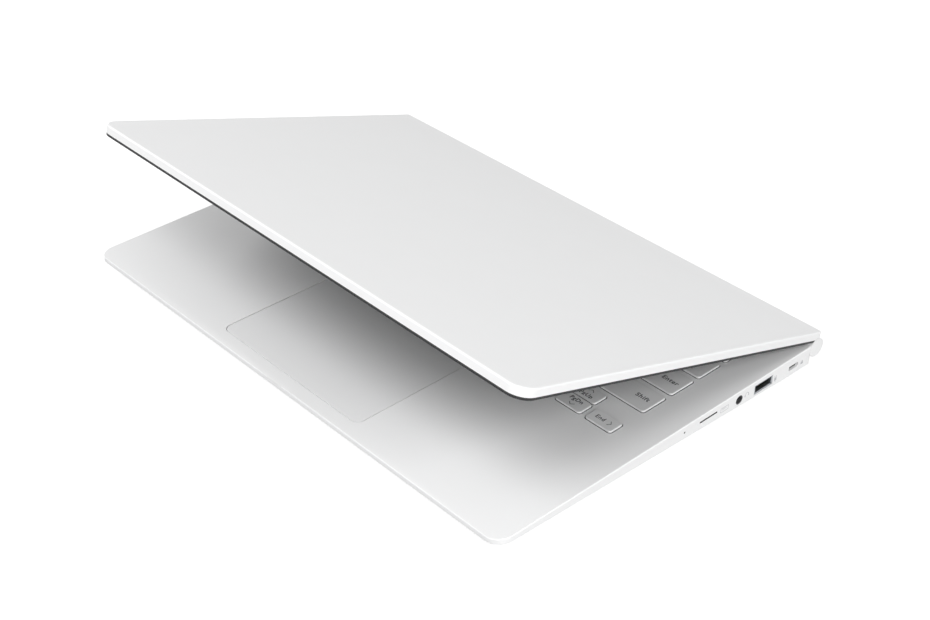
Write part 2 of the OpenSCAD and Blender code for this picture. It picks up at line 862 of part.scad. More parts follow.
// A copper plate over the processor and the flat pipe from it to the heat sink
module heat_pipe() {
    y_end = (sink_y0 + sink_y1) / 2;
    on_feet() color(copper_color) {
        translate([cpu_x, cpu_y, board_top + cpu_h]) linear_extrude(cold_plate_t)
            square([cpu_w + cold_plate_edge, cpu_d + cold_plate_edge], center = true);
        translate([0, 0, pipe_z]) {
            block([pipe_x + pipe_bend, cpu_y - pipe_w / 2, 0],
                  [cpu_x + pipe_reach, cpu_y + pipe_w / 2, pipe_h]);
            translate([pipe_x + pipe_bend, cpu_y + pipe_bend]) bend(180);
            block([pipe_x - pipe_w / 2, cpu_y + pipe_bend, 0],
                  [pipe_x + pipe_w / 2, y_end - pipe_bend, pipe_h]);
            translate([pipe_x - pipe_bend, y_end - pipe_bend]) bend(0);
            block([sink_x0 + stack_gap, y_end - pipe_w / 2, 0],
                  [pipe_x - pipe_bend, y_end + pipe_w / 2, pipe_h]);
        }
    }
}

// A quarter bend of the flat pipe
module bend(start) {
    rotate([0, 0, start]) rotate_extrude(angle = 90)
        translate([pipe_bend - pipe_w / 2, 0]) square([pipe_w, pipe_h]);
}

// Upright fins on a base plate, between the fan's outlet and the rear wall
module heat_sink() {
    fins = floor((sink_x1 - sink_x0) / (slot_pitch / 2));
    on_feet() color(fin_color) {
        block([sink_x0, sink_y0, pipe_z - fin_t], [sink_x1, sink_y1, pipe_z]);
        for (i = [0 : fins])
            block([sink_x0 + i * slot_pitch / 2, sink_y0, sink_z],
                  [sink_x0 + i * slot_pitch / 2 + fin_t, sink_y1, pipe_z - fin_t + eps]);
    }
}

// The fan's housing: a flat box, open above and below the rotor and towards the heat sink
module fan_housing() {
    on_feet() color(dark_color) translate([fan_x, fan_y, floor_z]) {
        difference() {
            linear_extrude(fan_h) square(fan_w, center = true);
            translate([0, 0, fan_t]) linear_extrude(fan_h - 2 * fan_t) {
                circle(r = fan_w / 2 - fan_wall);
                translate([-fan_w / 2 + fan_wall, 0])
                    square([fan_w - 2 * fan_wall, fan_w / 2 + touch]);
            }
            translate([0, 0, fan_h / 2]) cylinder(r = intake_r, h = fan_h);
            difference() {
                translate([0, 0, -touch]) cylinder(r = intake_r, h = fan_h / 2);
                translate([0, 0, -touch]) cylinder(r = hub_r, h = fan_h);
                for (a = [spoke_a : 120 : 360])
                    rotate([0, 0, a]) translate([-spoke_w / 2, 0, -touch])
                        cube([spoke_w, fan_w, fan_h]);
            }
        }
        cylinder(r = hub_r, h = fan_t);
        cylinder(r = fan_pin_r, h = fan_t + hub_h - standoff_h);
    }
}

// The fan's rotor: a cup-shaped hub on the housing's pin, with blades that lean back
module fan_rotor() {
    on_feet() color(rotor_color)
        translate([fan_x, fan_y, floor_z + fan_t + standoff_h / 2]) difference() {
            union() {
                cylinder(r = hub_r, h = hub_h);
                for (i = [0 : blades - 1])
                    rotate([0, 0, i * 360 / blades]) translate([hub_r - 1, 0, 0])
                        rotate([0, 0, blade_lean]) cube([blade_l, blade_t, blade_h]);
            }
            translate([0, 0, -touch]) cylinder(r = fan_pin_r + shaft_fit, h = hub_h - fan_t);
        }
}

battery_in = 34.2;
battery_x = half_w - battery_in;
battery_y0 = 13;
battery_back = 10;
battery_y1 = board_y0 - battery_back;
battery_h = room_h - under_gap;
cells = 3;
cell_gap = 0.6;

// Flat cells side by side in a thin frame
module battery() {
    cell_w = (2 * battery_x - (cells + 1) * cell_gap) / cells;
    on_feet() color(dark_color) difference() {
        block([-battery_x, battery_y0, floor_z],
              [battery_x, battery_y1, floor_z + battery_h]);
        for (i = [1 : cells - 1])
            translate([-battery_x + i * (cell_w + cell_gap), battery_y0 - touch,
                       floor_z + battery_h - cell_gap])
                cube([cell_gap, battery_y1 - battery_y0 + 2 * touch, 2 * cell_gap]);
    }
}

memory_in = 79;
memory_x = board_x1 - memory_in;
memory_front = 6;
memory_y = board_y0 + memory_front;
memory_w = 69.6;
memory_d = 30;
memory_lift = 1.4;
memory_socket_d = 5;
memory_socket_h = 3;
memory_arm_t = 1;
memory_chips = 4;
memory_chip_w = 11;
memory_chip_d = 13;
memory_chip_y = 12;
memory_chip_x = 4;
memory_chip_pitch = 16.5;

// A memory module lying flat in its socket, with a latch arm at each end
module memory_module() {
    on_feet() translate([memory_x, memory_y, board_top]) {
        color(dark_color) cube([memory_w, memory_socket_d, memory_socket_h]);
        color(board_color) block([memory_arm_t, memory_socket_d - 1, memory_lift],
                                 [memory_w - memory_arm_t, memory_d, memory_lift + card_t]);
        color(dark_color) for (i = [0 : memory_chips - 1])
            translate([memory_chip_x + i * memory_chip_pitch, memory_chip_y,
                       memory_lift + card_t - eps])
                cube([memory_chip_w, memory_chip_d, chip_h]);
        color(steel_color) for (x = [0, memory_w - memory_arm_t])
            translate([x, memory_socket_d - 1, 0])
                cube([memory_arm_t, memory_d - memory_socket_d + 2, memory_socket_h]);
    }
}

drive_w = 22;
drive_lift = 1.2;
drive_socket_l = 5;
drive_socket_h = 2.6;
drive_chips = 3;
drive_chip_l = 18;
drive_chip_w = 14;
drive_chip_pitch = 22;
drive_post_r = 2;

// A narrow storage card, held by its socket and a post
module solid_state_drive() {
    on_feet() translate([drive_x, drive_y, board_top]) {
        color(dark_color) cube([drive_socket_l, drive_w, drive_socket_h]);
        color(board_color) block([drive_socket_l - 1, 0, drive_lift],
                                 [drive_l, drive_w, drive_lift + card_t]);
        color(dark_color) for (i = [0 : drive_chips - 1])
            translate([2 * drive_socket_l + i * drive_chip_pitch,
                       (drive_w - drive_chip_w) / 2, drive_lift + card_t - eps])
                cube([drive_chip_l, drive_chip_w, chip_h]);
        color(steel_color) translate([drive_l - drive_post_r, drive_w / 2, 0])
            cylinder(r = drive_post_r, h = drive_lift + eps);
    }
}

radio_in = 49;
radio_x = board_x1 - radio_in;
radio_w = 22;
radio_l = 26;
radio_back = 1;
radio_y = board_y1 - radio_l - radio_back;
radio_lift = 1;
radio_socket_l = 4;
radio_socket_h = 2.2;
radio_shield_w = 14;
radio_shield_l = 12;
radio_plug_r = 1;
radio_plug_pitch = 5;
radio_post = 4;

// A small radio card with a metal shield and two aerial sockets
module wireless_card() {
    on_feet() translate([radio_x, radio_y, board_top]) {
        color(dark_color) cube([radio_w, radio_socket_l, radio_socket_h]);
        color(board_color) block([0, radio_socket_l - 1, radio_lift],
                                 [radio_w, radio_l, radio_lift + card_t]);
        color(steel_color) {
            translate([(radio_w - radio_shield_w) / 2, 2 * radio_socket_l,
                       radio_lift + card_t - eps])
                cube([radio_shield_w, radio_shield_l, chip_h]);
            for (i = [0, 1])
                translate([radio_plug_pitch * (i + 1) - 2 * radio_plug_r,
                           radio_l - 2.5 * radio_plug_r, radio_lift + card_t - eps])
                    cylinder(r = radio_plug_r, h = chip_h);
            translate([(radio_w - radio_post) / 2, radio_l - radio_post, 0])
                cube([radio_post, radio_post, radio_lift + eps]);
        }
    }
}

speaker_in = 32.2;
speaker_x = half_w - speaker_in;
speaker_w = 21;
speaker_y = 26;
speaker_back = 6;
speaker_l = board_y0 - speaker_back - speaker_y;
speaker_h = 5.4;
speaker_slot_count = 9;

// A flat speaker box with an oval cone that faces down
module speaker(side) {
    on_feet() on_side(side) color(black_color) difference() {
        block([speaker_x, speaker_y, floor_z],
              [speaker_x + speaker_w, speaker_y + speaker_l, floor_z + speaker_h]);
        translate([speaker_x + speaker_w / 2, speaker_y + speaker_l / 2, floor_z - touch])
            linear_extrude(speaker_h / 2) {
                square([speaker_w / 2, speaker_l / 2], center = true);
                for (end = [-1, 1])
                    translate([0, end * speaker_l / 4]) circle(r = speaker_w / 4);
            }
    }
}
module left_speaker() { speaker(-1); }
module right_speaker() { speaker(1); }

// ---------------------------------------------------------------- sockets in the sides

socket_l = 14;
face_set = 0.15;
usb_w = 13.2;
usb_h = 5.1;
metal_t = 0.35;
tongue_h = 1.7;
tongue_set = 1;
video_w = 15;
video_h = 4.6;
card_w = 12.1;
card_slot = 0.9;
card_z = -3.4;
pinhole_r = 0.5;
reader_wall = 1.5;
jack_z = -4.75;
jack_nose_r = 2.4;
jack_body_w = 6.4;
power_r = 2.2;
power_nose_r = 2.7;
power_pin_r = 0.4;
power_z = -4.2;
lock_w = 7;
lock_h = 2.6;
lock_r = 0.8;
lock_z = -5.4;
lock_plate_w = 11;
lock_foot_l = 6;
lock_foot_t = 1;
port_gap = 0.2;
body_in = 2.6;
body_x1 = half_w - body_in;
socket_x = half_w - face_set - socket_l;
usb_top = board_top + usb_h;
video_z = board_top + standoff_h;

module port_openings() {
    x0 = half_w - wall - touch;
    x1 = half_w + touch;
    block([x0, usb_y - usb_w / 2 - port_gap, board_top - port_gap],
          [x1, usb_y + usb_w / 2 + port_gap, usb_top + port_gap]);
    bar(jack_y, jack_z, jack_nose_r + eps, x0, x1);
    block([x0, card_y - card_w / 2, card_z - card_slot / 2],
          [x1, card_y + card_w / 2, card_z + card_slot / 2]);
    bar(pinhole_y, card_z, pinhole_r, x0, x1);
    lock_hole(x0, x1);
    on_side(-1) {
        block([x0, left_usb_y - usb_w / 2 - port_gap, board_top - port_gap],
              [x1, left_usb_y + usb_w / 2 + port_gap, usb_top + port_gap]);
        block([x0, video_y - video_w / 2 - port_gap, video_z - port_gap],
              [x1, video_y + video_w / 2 + port_gap, video_z + video_h + port_gap]);
        bar(power_y, power_z, power_nose_r + eps, x0, x1);
    }
}

// A slot with rounded corners
module lock_hole(x0, x1) {
    run = lock_w / 2 - lock_r;
    rise = lock_h / 2 - lock_r;
    for (y = [-run, run], z = [-rise, rise]) bar(lock_y + y, lock_z + z, lock_r, x0, x1);
    block([x0, lock_y - run, lock_z - lock_h / 2], [x1, lock_y + run, lock_z + lock_h / 2]);
    block([x0, lock_y - lock_w / 2, lock_z - rise], [x1, lock_y + lock_w / 2, lock_z + rise]);
}

// A metal shell round a plastic tongue, open at the side of the base
module shell_socket(y, z, w, h) {
    color(steel_color) difference() {
        block([socket_x, y - w / 2, z], [half_w - face_set, y + w / 2, z + h]);
        block([socket_x + tongue_set, y - w / 2 + metal_t, z + metal_t],
              [half_w + touch, y + w / 2 - metal_t, z + h - metal_t]);
    }
    color(black_color)
        block([socket_x + eps, y - w / 2 + 2 * metal_t + touch, z + h - tongue_h - 2 * metal_t],
              [half_w - face_set - tongue_set, y + w / 2 - 2 * metal_t - touch,
               z + h - 2 * metal_t - touch]);
}

module right_usb_socket() { on_feet() shell_socket(usb_y, board_top, usb_w, usb_h); }
module left_usb_socket() {
    on_feet() on_side(-1) shell_socket(left_usb_y, board_top, usb_w, usb_h);
}
module video_socket() {
    on_feet() on_side(-1) {
        shell_socket(video_y, video_z, video_w, video_h);
        color(steel_color) for (end = [-1, 1])
            translate([socket_x + socket_l / 2, video_y + end * video_w / 3, board_top])
                cylinder(r = 1, h = standoff_h + eps);
    }
}

// A round socket: a body on the board, with a nose that fills the hole in the side wall
module headphone_socket() {
    on_feet() color(black_color) difference() {
        union() {
            block([socket_x, jack_y - jack_body_w / 2, board_top],
                  [body_x1, jack_y + jack_body_w / 2, jack_z + jack_nose_r]);
            bar(jack_y, jack_z, jack_nose_r, body_x1 - eps, half_w - face_set);
        }
        bar(jack_y, jack_z, jack_r, socket_x - touch, half_w + touch);
    }
}

module power_inlet() {
    on_feet() on_side(-1) color(black_color) {
        difference() {
            union() {
                block([socket_x, power_y - power_nose_r - 1, board_top],
                      [body_x1, power_y + power_nose_r + 1, power_z + power_nose_r]);
                bar(power_y, power_z, power_nose_r, body_x1 - eps, half_w - face_set);
            }
            bar(power_y, power_z, power_r, socket_x + tongue_set, half_w + touch);
        }
        bar(power_y, power_z, power_pin_r, socket_x + eps, half_w - wall);
    }
}

// The memory card reader, on legs over the board so that its slot meets the one in the wall
module card_reader() {
    on_feet() color(steel_color) difference() {
        block([socket_x, card_y - card_w / 2 - reader_wall, board_top],
              [body_x1, card_y + card_w / 2 + reader_wall, card_z + 2 * card_slot]);
        block([socket_x + tongue_set, card_y - card_w / 2, card_z - card_slot / 2],
              [half_w, card_y + card_w / 2, card_z + card_slot / 2]);
        block([socket_x - touch, card_y - card_w / 2, board_top - touch],
              [half_w, card_y + card_w / 2, card_z - card_slot]);
    }
}

// A steel plate behind the lock slot, with a foot on the bottom cover
module lock_bracket() {
    x1 = half_w - wall;
    on_feet() color(steel_color) difference() {
        union() {
            block([x1 - bracket_t, lock_y - lock_plate_w / 2, floor_z],
                  [x1, lock_y + lock_plate_w / 2, -2 * deck_t]);
            block([x1 - lock_foot_l, lock_y - lock_plate_w / 2, floor_z],
                  [x1, lock_y + lock_plate_w / 2, floor_z + lock_foot_t]);
        }
        lock_hole(x1 - bracket_t - touch, x1 + touch);
    }
}

// ---------------------------------------------------------------- the hinges

bracket_in = 11.2;
bracket_x = half_w - bracket_in;
bracket_w = 12;
bracket_t = 1.2;
bracket_l = 29;
barrel_wall = 1.35;
bore_r = barrel_r - barrel_wall;
eye_gap = 0.4;
eye_r = bore_r - eye_gap;
bracket_lap = 0.36;
bracket_z = axis_z - eye_r + bracket_lap;
eye_w = 8;
knuckle_end = 6;
tongue_w = 16;
tongue_t = 1.5;
tongue_l = 6;
cap_edge = 0.65;
cap_r = barrel_r - cap_edge;
cap_t = 0.8;
small_screw_r = 0.9;
small_screw_l = 4;
small_head_r = 1.9;
small_head_h = 0.7;
small_boss_r = 2.1;
sunk_h = 0.6;
bracket_hole_y0 = 25.1;
bracket_hole_y1 = 16.6;
bracket_places = [
    for (y = [bracket_hole_y0, bracket_hole_y1]) [bracket_x + 1, axis_y - y, 0]
];

// A knuckle that stays with the base: a hollow drum in the cradle, with a tongue that goes
// through the rear wall under the hinge bracket
module hinge_knuckle(side) {
    on_feet() on_side(side) color(shell_color) difference() {
        union() {
            axle(barrel_r, knuckle_x, half_w - touch);
            block([bracket_x - tongue_w / 2, rear_wall_y - tongue_l, bracket_z - tongue_t],
                  [bracket_x + tongue_w / 2, axis_y - 1, bracket_z - touch]);
        }
        axle(bore_r, knuckle_x - touch, half_w - knuckle_end);
        axle(cap_r + eps, half_w - touch - cap_t, half_w + touch);
        block([bracket_x - bracket_w / 2 - hinge_gap, rear_wall_y, bracket_z - eps],
              [bracket_x + bracket_w / 2 + hinge_gap, axis_y, bracket_z + bracket_t + hinge_gap]);
    }
}
module left_hinge_knuckle() { hinge_knuckle(-1); }
module right_hinge_knuckle() { hinge_knuckle(1); }

// The discs that close the outer ends of the knuckles
module knuckle_caps() {
    on_feet() color(shell_color) for (side = [-1, 1]) on_side(side)
        axle(cap_r, half_w - touch - cap_t, half_w - 2 * touch);
}

// A steel bracket: a flat leaf screwed under the deck, ending in a bush round the shaft
module hinge_bracket(side) {
    on_feet() on_side(side) color(steel_color) difference() {
        union() {
            block([bracket_x - bracket_w / 2, axis_y - bracket_l, bracket_z],
                  [bracket_x + bracket_w / 2, axis_y, bracket_z + bracket_t]);
            axle(eye_r, bracket_x - eye_w / 2, bracket_x + eye_w / 2);
        }
        axle(shaft_r + shaft_fit, bracket_x - bracket_w, bracket_x + bracket_w);
        for (end = [-1, 1]) on_bracket_end(end);
        at(bracket_places) translate([0, 0, bracket_z - touch])
            cylinder(r = small_screw_r + 2 * eps, h = bracket_t + 2 * touch);
    }
}

// Trims the leaf beside the bush, so that it ends under the bush alone
module on_bracket_end(end) {
    x = bracket_x + end * (eye_w + bracket_w) / 4;
    block([x - (bracket_w - eye_w) / 4 - (end < 0 ? touch : 0), axis_y - eye_r,
           bracket_z - touch],
          [x + (bracket_w - eye_w) / 4 + (end > 0 ? touch : 0), axis_y + touch,
           bracket_z + bracket_t + touch]);
}
module left_hinge_bracket() { hinge_bracket(-1); }
module right_hinge_bracket() { hinge_bracket(1); }

module bracket_screws() {
    on_feet() color(steel_color) for (side = [-1, 1]) on_side(side)
        at(bracket_places) translate([0, 0, bracket_z]) {
            translate([0, 0, -small_head_h]) cylinder(r = small_head_r, h = small_head_h);
            cylinder(r = small_screw_r, h = small_screw_l - touch);
        }
}

// ---------------------------------------------------------------- the lid

lid_z = bezel_gap + bezel_t;
lid_top = lid_z + lid_h;
lid_ceiling = lid_top - lid_wall;
lid_outline = rounded(-half_w, half_w, -lid_lip, axis_y + lid_tail, lid_front_r, lid_rear_r);
picture_y = screen_front - lid_lip;
screen_w = body_w - 2 * screen_side;
screen_d = axis_y - screen_chin - picture_y;
plate_under_z = bezel_gap + bezel_recess;
bezel_plate_t = 0.6;
panel_z = plate_under_z + bezel_plate_t;
bezel_rim_w = 3.4;
bezel_back = 8.3;
recess_back = 11;
soft_share = 0.3;
soft_drop_share = 0.85;
panel_side = 3;
panel_front = 4;
panel_t = lid_ceiling - panel_gap - panel_z;
leaf_in = 12;
leaf_x = barrel_x - leaf_in;
leaf_w = 14;
leaf_t = 1;
leaf_rise = 5;
leaf_z = axis_z + leaf_rise;
leaf_l = 24;
leaf_gap = 2.4;
panel_y1 = axis_y - leaf_l - leaf_gap;
leaf_eye_w = 6;
leaf_hole_y0 = 20;
leaf_hole_y1 = 12;
leaf_places = [for (y = [leaf_hole_y0, leaf_hole_y1]) [leaf_x, axis_y - y, 0]];
riser_front = 2.4;
riser_rear = 0.3;
riser_gap = 0.4;

// The outer shell of the lid
module lid_cover() {
    turned_open() color(shell_color) difference() {
        union() {
            difference() {
                loft([
                    ring(lid_outline, 0, lid_z),
                    ring(lid_outline, 0, lid_top - lid_soft * soft_drop_share),
                    ring(lid_outline, lid_soft * soft_share, lid_top - lid_soft * soft_share),
                    ring(lid_outline, lid_soft, lid_top)
                ]);
                translate([0, 0, lid_z - touch]) linear_extrude(lid_ceiling - lid_z + touch)
                    polygon(inset(lid_outline, lid_wall));
            }
            for (side = [-1, 1]) on_side(side) at(leaf_places)
                translate([0, 0, leaf_z + leaf_t])
                    cylinder(r = small_boss_r, h = lid_ceiling - leaf_z - leaf_t + eps);
        }
        axle(barrel_r + eps, -knuckle_x, knuckle_x);
        for (side = [-1, 1]) on_side(side) {
            axle(barrel_r + hinge_gap, barrel_x, half_w + touch);
            at(leaf_places) translate([0, 0, leaf_z])
                cylinder(r = small_screw_r + eps, h = lid_ceiling - leaf_z + touch);
        }
    }
}

// The display panel behind the bezel
module display_panel() {
    turned_open() color(black_color)
        block([-screen_w / 2 - panel_side, picture_y - panel_front, panel_z],
              [screen_w / 2 + panel_side, panel_y1, panel_z + panel_t]);
}

// The dark frame round the picture: a rim that shows as a line under the lid's edge, and
// inside it a plate that is recessed to clear the keys
module display_bezel() {
    turned_open() color(dark_color) difference() {
        union() {
            translate([0, 0, bezel_gap]) linear_extrude(bezel_t)
                polygon(inset(lid_outline, 2 * touch));
            translate([0, 0, lid_z - eps]) linear_extrude(panel_z - lid_z + eps) intersection() {
                polygon(inset(lid_outline, lid_wall + touch));
                lid_area(bezel_back);
            }
        }
        translate([0, 0, bezel_gap - touch]) linear_extrude(bezel_recess + touch) intersection() {
            polygon(inset(lid_outline, bezel_rim_w));
            lid_area(recess_back);
        }
        translate([0, 0, bezel_gap]) linear_extrude(panel_z)
            translate([-screen_w / 2, picture_y]) square([screen_w, screen_d]);
        axle(barrel_r + hinge_gap, -half_w - touch, half_w + touch);
        translate([0, 0, bezel_gap - touch]) linear_extrude(gasket_seat + touch) gasket_shape();
        translate([0, camera_y, bezel_gap])
            cylinder(r = lens_r + touch, h = panel_z);
    }
}

// The part of the lid's plan from its front edge to a distance in front of the hinge axis
module lid_area(back) {
    translate([-half_w, -lid_lip]) square([body_w, axis_y - back + lid_lip]);
}

gasket_in = 1.2;
gasket_w = 1.4;
gasket_seat = 0.2;

// The outline of the soft strip: the front and both sides of the lid
module gasket_shape() {
    intersection() {
        difference() {
            polygon(inset(lid_outline, gasket_in));
            polygon(inset(lid_outline, gasket_in + gasket_w));
        }
        lid_area(lid_rear_r + barrel_r);
    }
}

// The soft strip that the shut lid rests on
module lid_gasket() {
    turned_open() color(black_color) translate([0, 0, eps])
        linear_extrude(bezel_gap + gasket_seat - eps) gasket_shape();
}

camera_in = 5;
camera_y = camera_in - lid_lip;
lens_r = 1.5;
camera_w = 26;
camera_d = 4.8;

module camera_module() {
    turned_open() color(black_color) {
        block([-camera_w / 2, picture_y - panel_front - camera_d - touch, panel_z],
              [camera_w / 2, picture_y - panel_front - touch, panel_z + panel_t - touch]);
        translate([0, camera_y, plate_under_z + touch])
            cylinder(r = lens_r, h = bezel_plate_t);
    }
}

saddle_l = 8;
saddle_z = lid_z + touch;
cable_x = -44;
cable_w = 16;
cable_t = 0.3;
cable_r = 1.3;
cable_z = panel_z + panel_t - 2 * touch - cable_t;

// The long hollow barrel that turns with the lid, and the saddle that joins it to the shell
module hinge_barrel() {
    turned_open() color(shell_color) difference() {
        union() {
            axle(barrel_r, -barrel_x, barrel_x);
            block([-barrel_x, axis_y - saddle_l, saddle_z],
                  [barrel_x, axis_y + lid_tail - lid_wall - touch, lid_ceiling]);
        }
        axle(bore_r, -barrel_x - touch, barrel_x + touch);
        for (side = [-1, 1]) on_side(side) {
            block([leaf_x - leaf_w / 2 - hinge_gap, axis_y - saddle_l - touch,
                   leaf_z - hinge_gap],
                  [leaf_x + leaf_w / 2 + hinge_gap, axis_y - riser_rear + riser_gap,
                   leaf_z + leaf_t + touch]);
            block([leaf_x - leaf_eye_w / 2 - hinge_gap, axis_y - riser_front - riser_gap, axis_z],
                  [leaf_x + leaf_eye_w / 2 + hinge_gap, axis_y - riser_rear + riser_gap,
                   leaf_z + leaf_t]);
        }
        block([cable_x - cable_w / 2 - hinge_gap, axis_y - saddle_l - touch,
               cable_z - hinge_gap],
              [cable_x + cable_w / 2 + hinge_gap, axis_y - cable_r + cable_t, cable_z + cable_t + touch]);
        block([cable_x - cable_w / 2 - hinge_gap, axis_y - cable_r - 2 * cable_t, axis_z],
              [cable_x + cable_w / 2 + hinge_gap, axis_y - cable_r + cable_t, cable_z]);
    }
}

// A steel shaft: fixed in the lid's leaf, turning in the bush of the base's bracket
module hinge_shaft(side) {
    turned_open() on_side(side) color(steel_color)
        axle(shaft_r, leaf_x - leaf_eye_w / 2 - 1, bracket_x + eye_w / 2 + 1);
}
module left_hinge_shaft() { hinge_shaft(-1); }
module right_hinge_shaft() { hinge_shaft(1); }

// A steel leaf: an eye on the shaft, a riser through the barrel and an arm under the shell
module lid_leaf(side) {
    turned_open() on_side(side) color(steel_color) difference() {
        union() {
            axle(eye_r, leaf_x - leaf_eye_w / 2, leaf_x + leaf_eye_w / 2);
            block([leaf_x - leaf_eye_w / 2, axis_y - riser_front, axis_z],
                  [leaf_x + leaf_eye_w / 2, axis_y - riser_rear, leaf_z + leaf_t]);
            block([leaf_x - leaf_w / 2, axis_y - leaf_l, leaf_z],
                  [leaf_x + leaf_w / 2, axis_y - riser_rear, leaf_z + leaf_t]);
        }
        axle(shaft_r, leaf_x - leaf_w, leaf_x + leaf_w);
        at(leaf_places) translate([0, 0, leaf_z - touch]) {
            cylinder(r = small_screw_r + 2 * eps, h = leaf_t + 2 * touch);
            cylinder(r = small_head_r + 2 * eps, h = sunk_h + touch);
        }
    }
}
module left_lid_leaf() { lid_leaf(-1); }
module right_lid_leaf() { lid_leaf(1); }

module leaf_screws() {
    turned_open() color(steel_color) for (side = [-1, 1]) on_side(side)
        at(leaf_places) translate([0, 0, leaf_z]) {
            cylinder(r = small_head_r, h = sunk_h);
            cylinder(r = small_screw_r, h = lid_ceiling - leaf_z);
        }
}

// The flat cable from the panel into the barrel, and the round bundle that it becomes there
module display_cable() {
    x0 = cable_x - cable_w / 2;
    x1 = cable_x + cable_w / 2;
    turned_open() color(black_color) {
        block([x0, panel_y1, cable_z], [x1, axis_y - cable_r + cable_t / 2, cable_z + cable_t]);
        block([x0, axis_y - cable_r - cable_t / 2, axis_z],
              [x1, axis_y - cable_r + cable_t / 2, cable_z + cable_t]);
        axle(cable_r, -leaf_x + leaf_w / 2 + 2, x1);
    }
}

// ---------------------------------------------------------------- what is drawn

top_case();
bottom_cover();
keyboard_plate();
dome_sheet();
battery();
mainboard();
heat_pipe();
heat_sink();
fan_housing();
fan_rotor();
memory_module();
solid_state_drive();
wireless_card();
left_speaker();
right_speaker();
right_usb_socket();
headphone_socket();
card_reader();
lock_bracket();
power_inlet();
video_socket();
left_usb_socket();
touchpad_frame();
touchpad();
power_button();
left_hinge_knuckle();
right_hinge_knuckle();
knuckle_caps();
left_hinge_bracket();
right_hinge_bracket();
bracket_screws();
case_screws();
rubber_feet();
function_keys();
number_keys();
backspace_key();
upper_letter_keys();
backslash_key();
home_letter_keys();
enter_key();
lower_letter_keys();
right_shift_key();
modifier_keys();
space_bar();
left_arrow_key();
up_arrow_key();
down_arrow_key();
right_arrow_key();
lid_cover();
display_panel();
display_bezel();
lid_gasket();
camera_module();
hinge_barrel();
left_hinge_shaft();
right_hinge_shaft();
left_lid_leaf();
right_lid_leaf();
leaf_screws();
display_cable();
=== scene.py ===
"""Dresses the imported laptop: its finishes, keycaps, legends, sockets, marks and small fittings."""

from __future__ import annotations

import json
import logging
import math
from dataclasses import dataclass, field
from enum import Enum, IntEnum
from typing import Callable, Mapping, Sequence

import bpy
import numpy as np
from mathutils import Matrix, Vector

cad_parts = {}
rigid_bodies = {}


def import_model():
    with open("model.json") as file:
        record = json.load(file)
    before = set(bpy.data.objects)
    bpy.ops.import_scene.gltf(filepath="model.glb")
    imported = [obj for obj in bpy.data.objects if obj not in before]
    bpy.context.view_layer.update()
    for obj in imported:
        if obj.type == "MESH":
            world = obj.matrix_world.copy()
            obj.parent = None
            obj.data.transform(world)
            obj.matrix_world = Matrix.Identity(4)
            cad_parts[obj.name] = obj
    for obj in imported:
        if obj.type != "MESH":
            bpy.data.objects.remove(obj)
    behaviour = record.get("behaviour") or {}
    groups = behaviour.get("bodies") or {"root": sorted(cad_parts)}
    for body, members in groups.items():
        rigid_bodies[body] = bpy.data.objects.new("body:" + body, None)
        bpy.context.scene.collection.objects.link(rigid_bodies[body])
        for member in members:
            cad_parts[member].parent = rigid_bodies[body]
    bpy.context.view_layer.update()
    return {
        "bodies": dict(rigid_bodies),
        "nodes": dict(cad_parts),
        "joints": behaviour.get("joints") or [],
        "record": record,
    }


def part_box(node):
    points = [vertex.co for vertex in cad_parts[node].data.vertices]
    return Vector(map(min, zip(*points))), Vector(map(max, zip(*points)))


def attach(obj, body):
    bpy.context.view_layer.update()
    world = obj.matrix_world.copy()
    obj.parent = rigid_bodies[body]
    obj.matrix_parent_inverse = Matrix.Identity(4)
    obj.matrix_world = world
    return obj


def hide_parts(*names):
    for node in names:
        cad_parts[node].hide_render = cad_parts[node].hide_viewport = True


LOG = logging.getLogger("laptop")
MM = 0.001
PRINT = 0.01 * MM  # how far a printed sign lies over its surface
FACING = 0.99  # how much of its normal lies along the axis that a face looks along
Colour = tuple[float, float, float]
Point = tuple[float, float, float]
Box = tuple[Vector, Vector]
Place = Sequence[float]
Thing = bpy.types.Object


class Axis(IntEnum):
    """An axis of the shared frame."""

    X = 0
    Y = 1
    Z = 2


class Side(IntEnum):
    """A side of the base, as the sign of its x."""

    RIGHT = 1
    LEFT = -1


def towards(azimuth: float, elevation: float) -> Vector:
    """The direction from the laptop to a place round it.

    Args:
        azimuth: degrees from the front to the right.
        elevation: degrees over the floor.

    Returns:
        The direction, one metre long.
    """
    az, el = math.radians(azimuth), math.radians(elevation)
    return Vector((math.sin(az) * math.cos(el), -math.cos(az) * math.cos(el), math.sin(el)))


# ------------------------------------------------------------------ shader maths


class Sock:
    """An output socket on which arithmetic adds Math nodes."""

    def __init__(self, graph: "Graph", socket: bpy.types.NodeSocket) -> None:
        """Wraps one output.

        Args:
            graph: the material's nodes.
            socket: the output that is wrapped.
        """
        self.graph = graph
        self.socket = socket

    def _math(self, operation: str, first: object, second: object) -> "Sock":
        """A Math node on two values."""
        return self.graph.node("ShaderNodeMath", {"operation": operation}, {0: first, 1: second})

    def __add__(self, other: object) -> "Sock":
        """This value plus another."""
        return self._math("ADD", self, other)

    __radd__ = __add__

    def __mul__(self, other: object) -> "Sock":
        """This value times another."""
        return self._math("MULTIPLY", self, other)

    __rmul__ = __mul__

    def __lt__(self, other: object) -> "Sock":
        """1 where this value is below another, else 0."""
        return self._math("LESS_THAN", self, other)

    def __mod__(self, other: object) -> "Sock":
        """What is left of this value after whole steps of another, never below 0."""
        return self._math("FLOORED_MODULO", self, other)

    def greatest(self, other: object) -> "Sock":
        """The larger of this value and another."""
        return self._math("MAXIMUM", self, other)


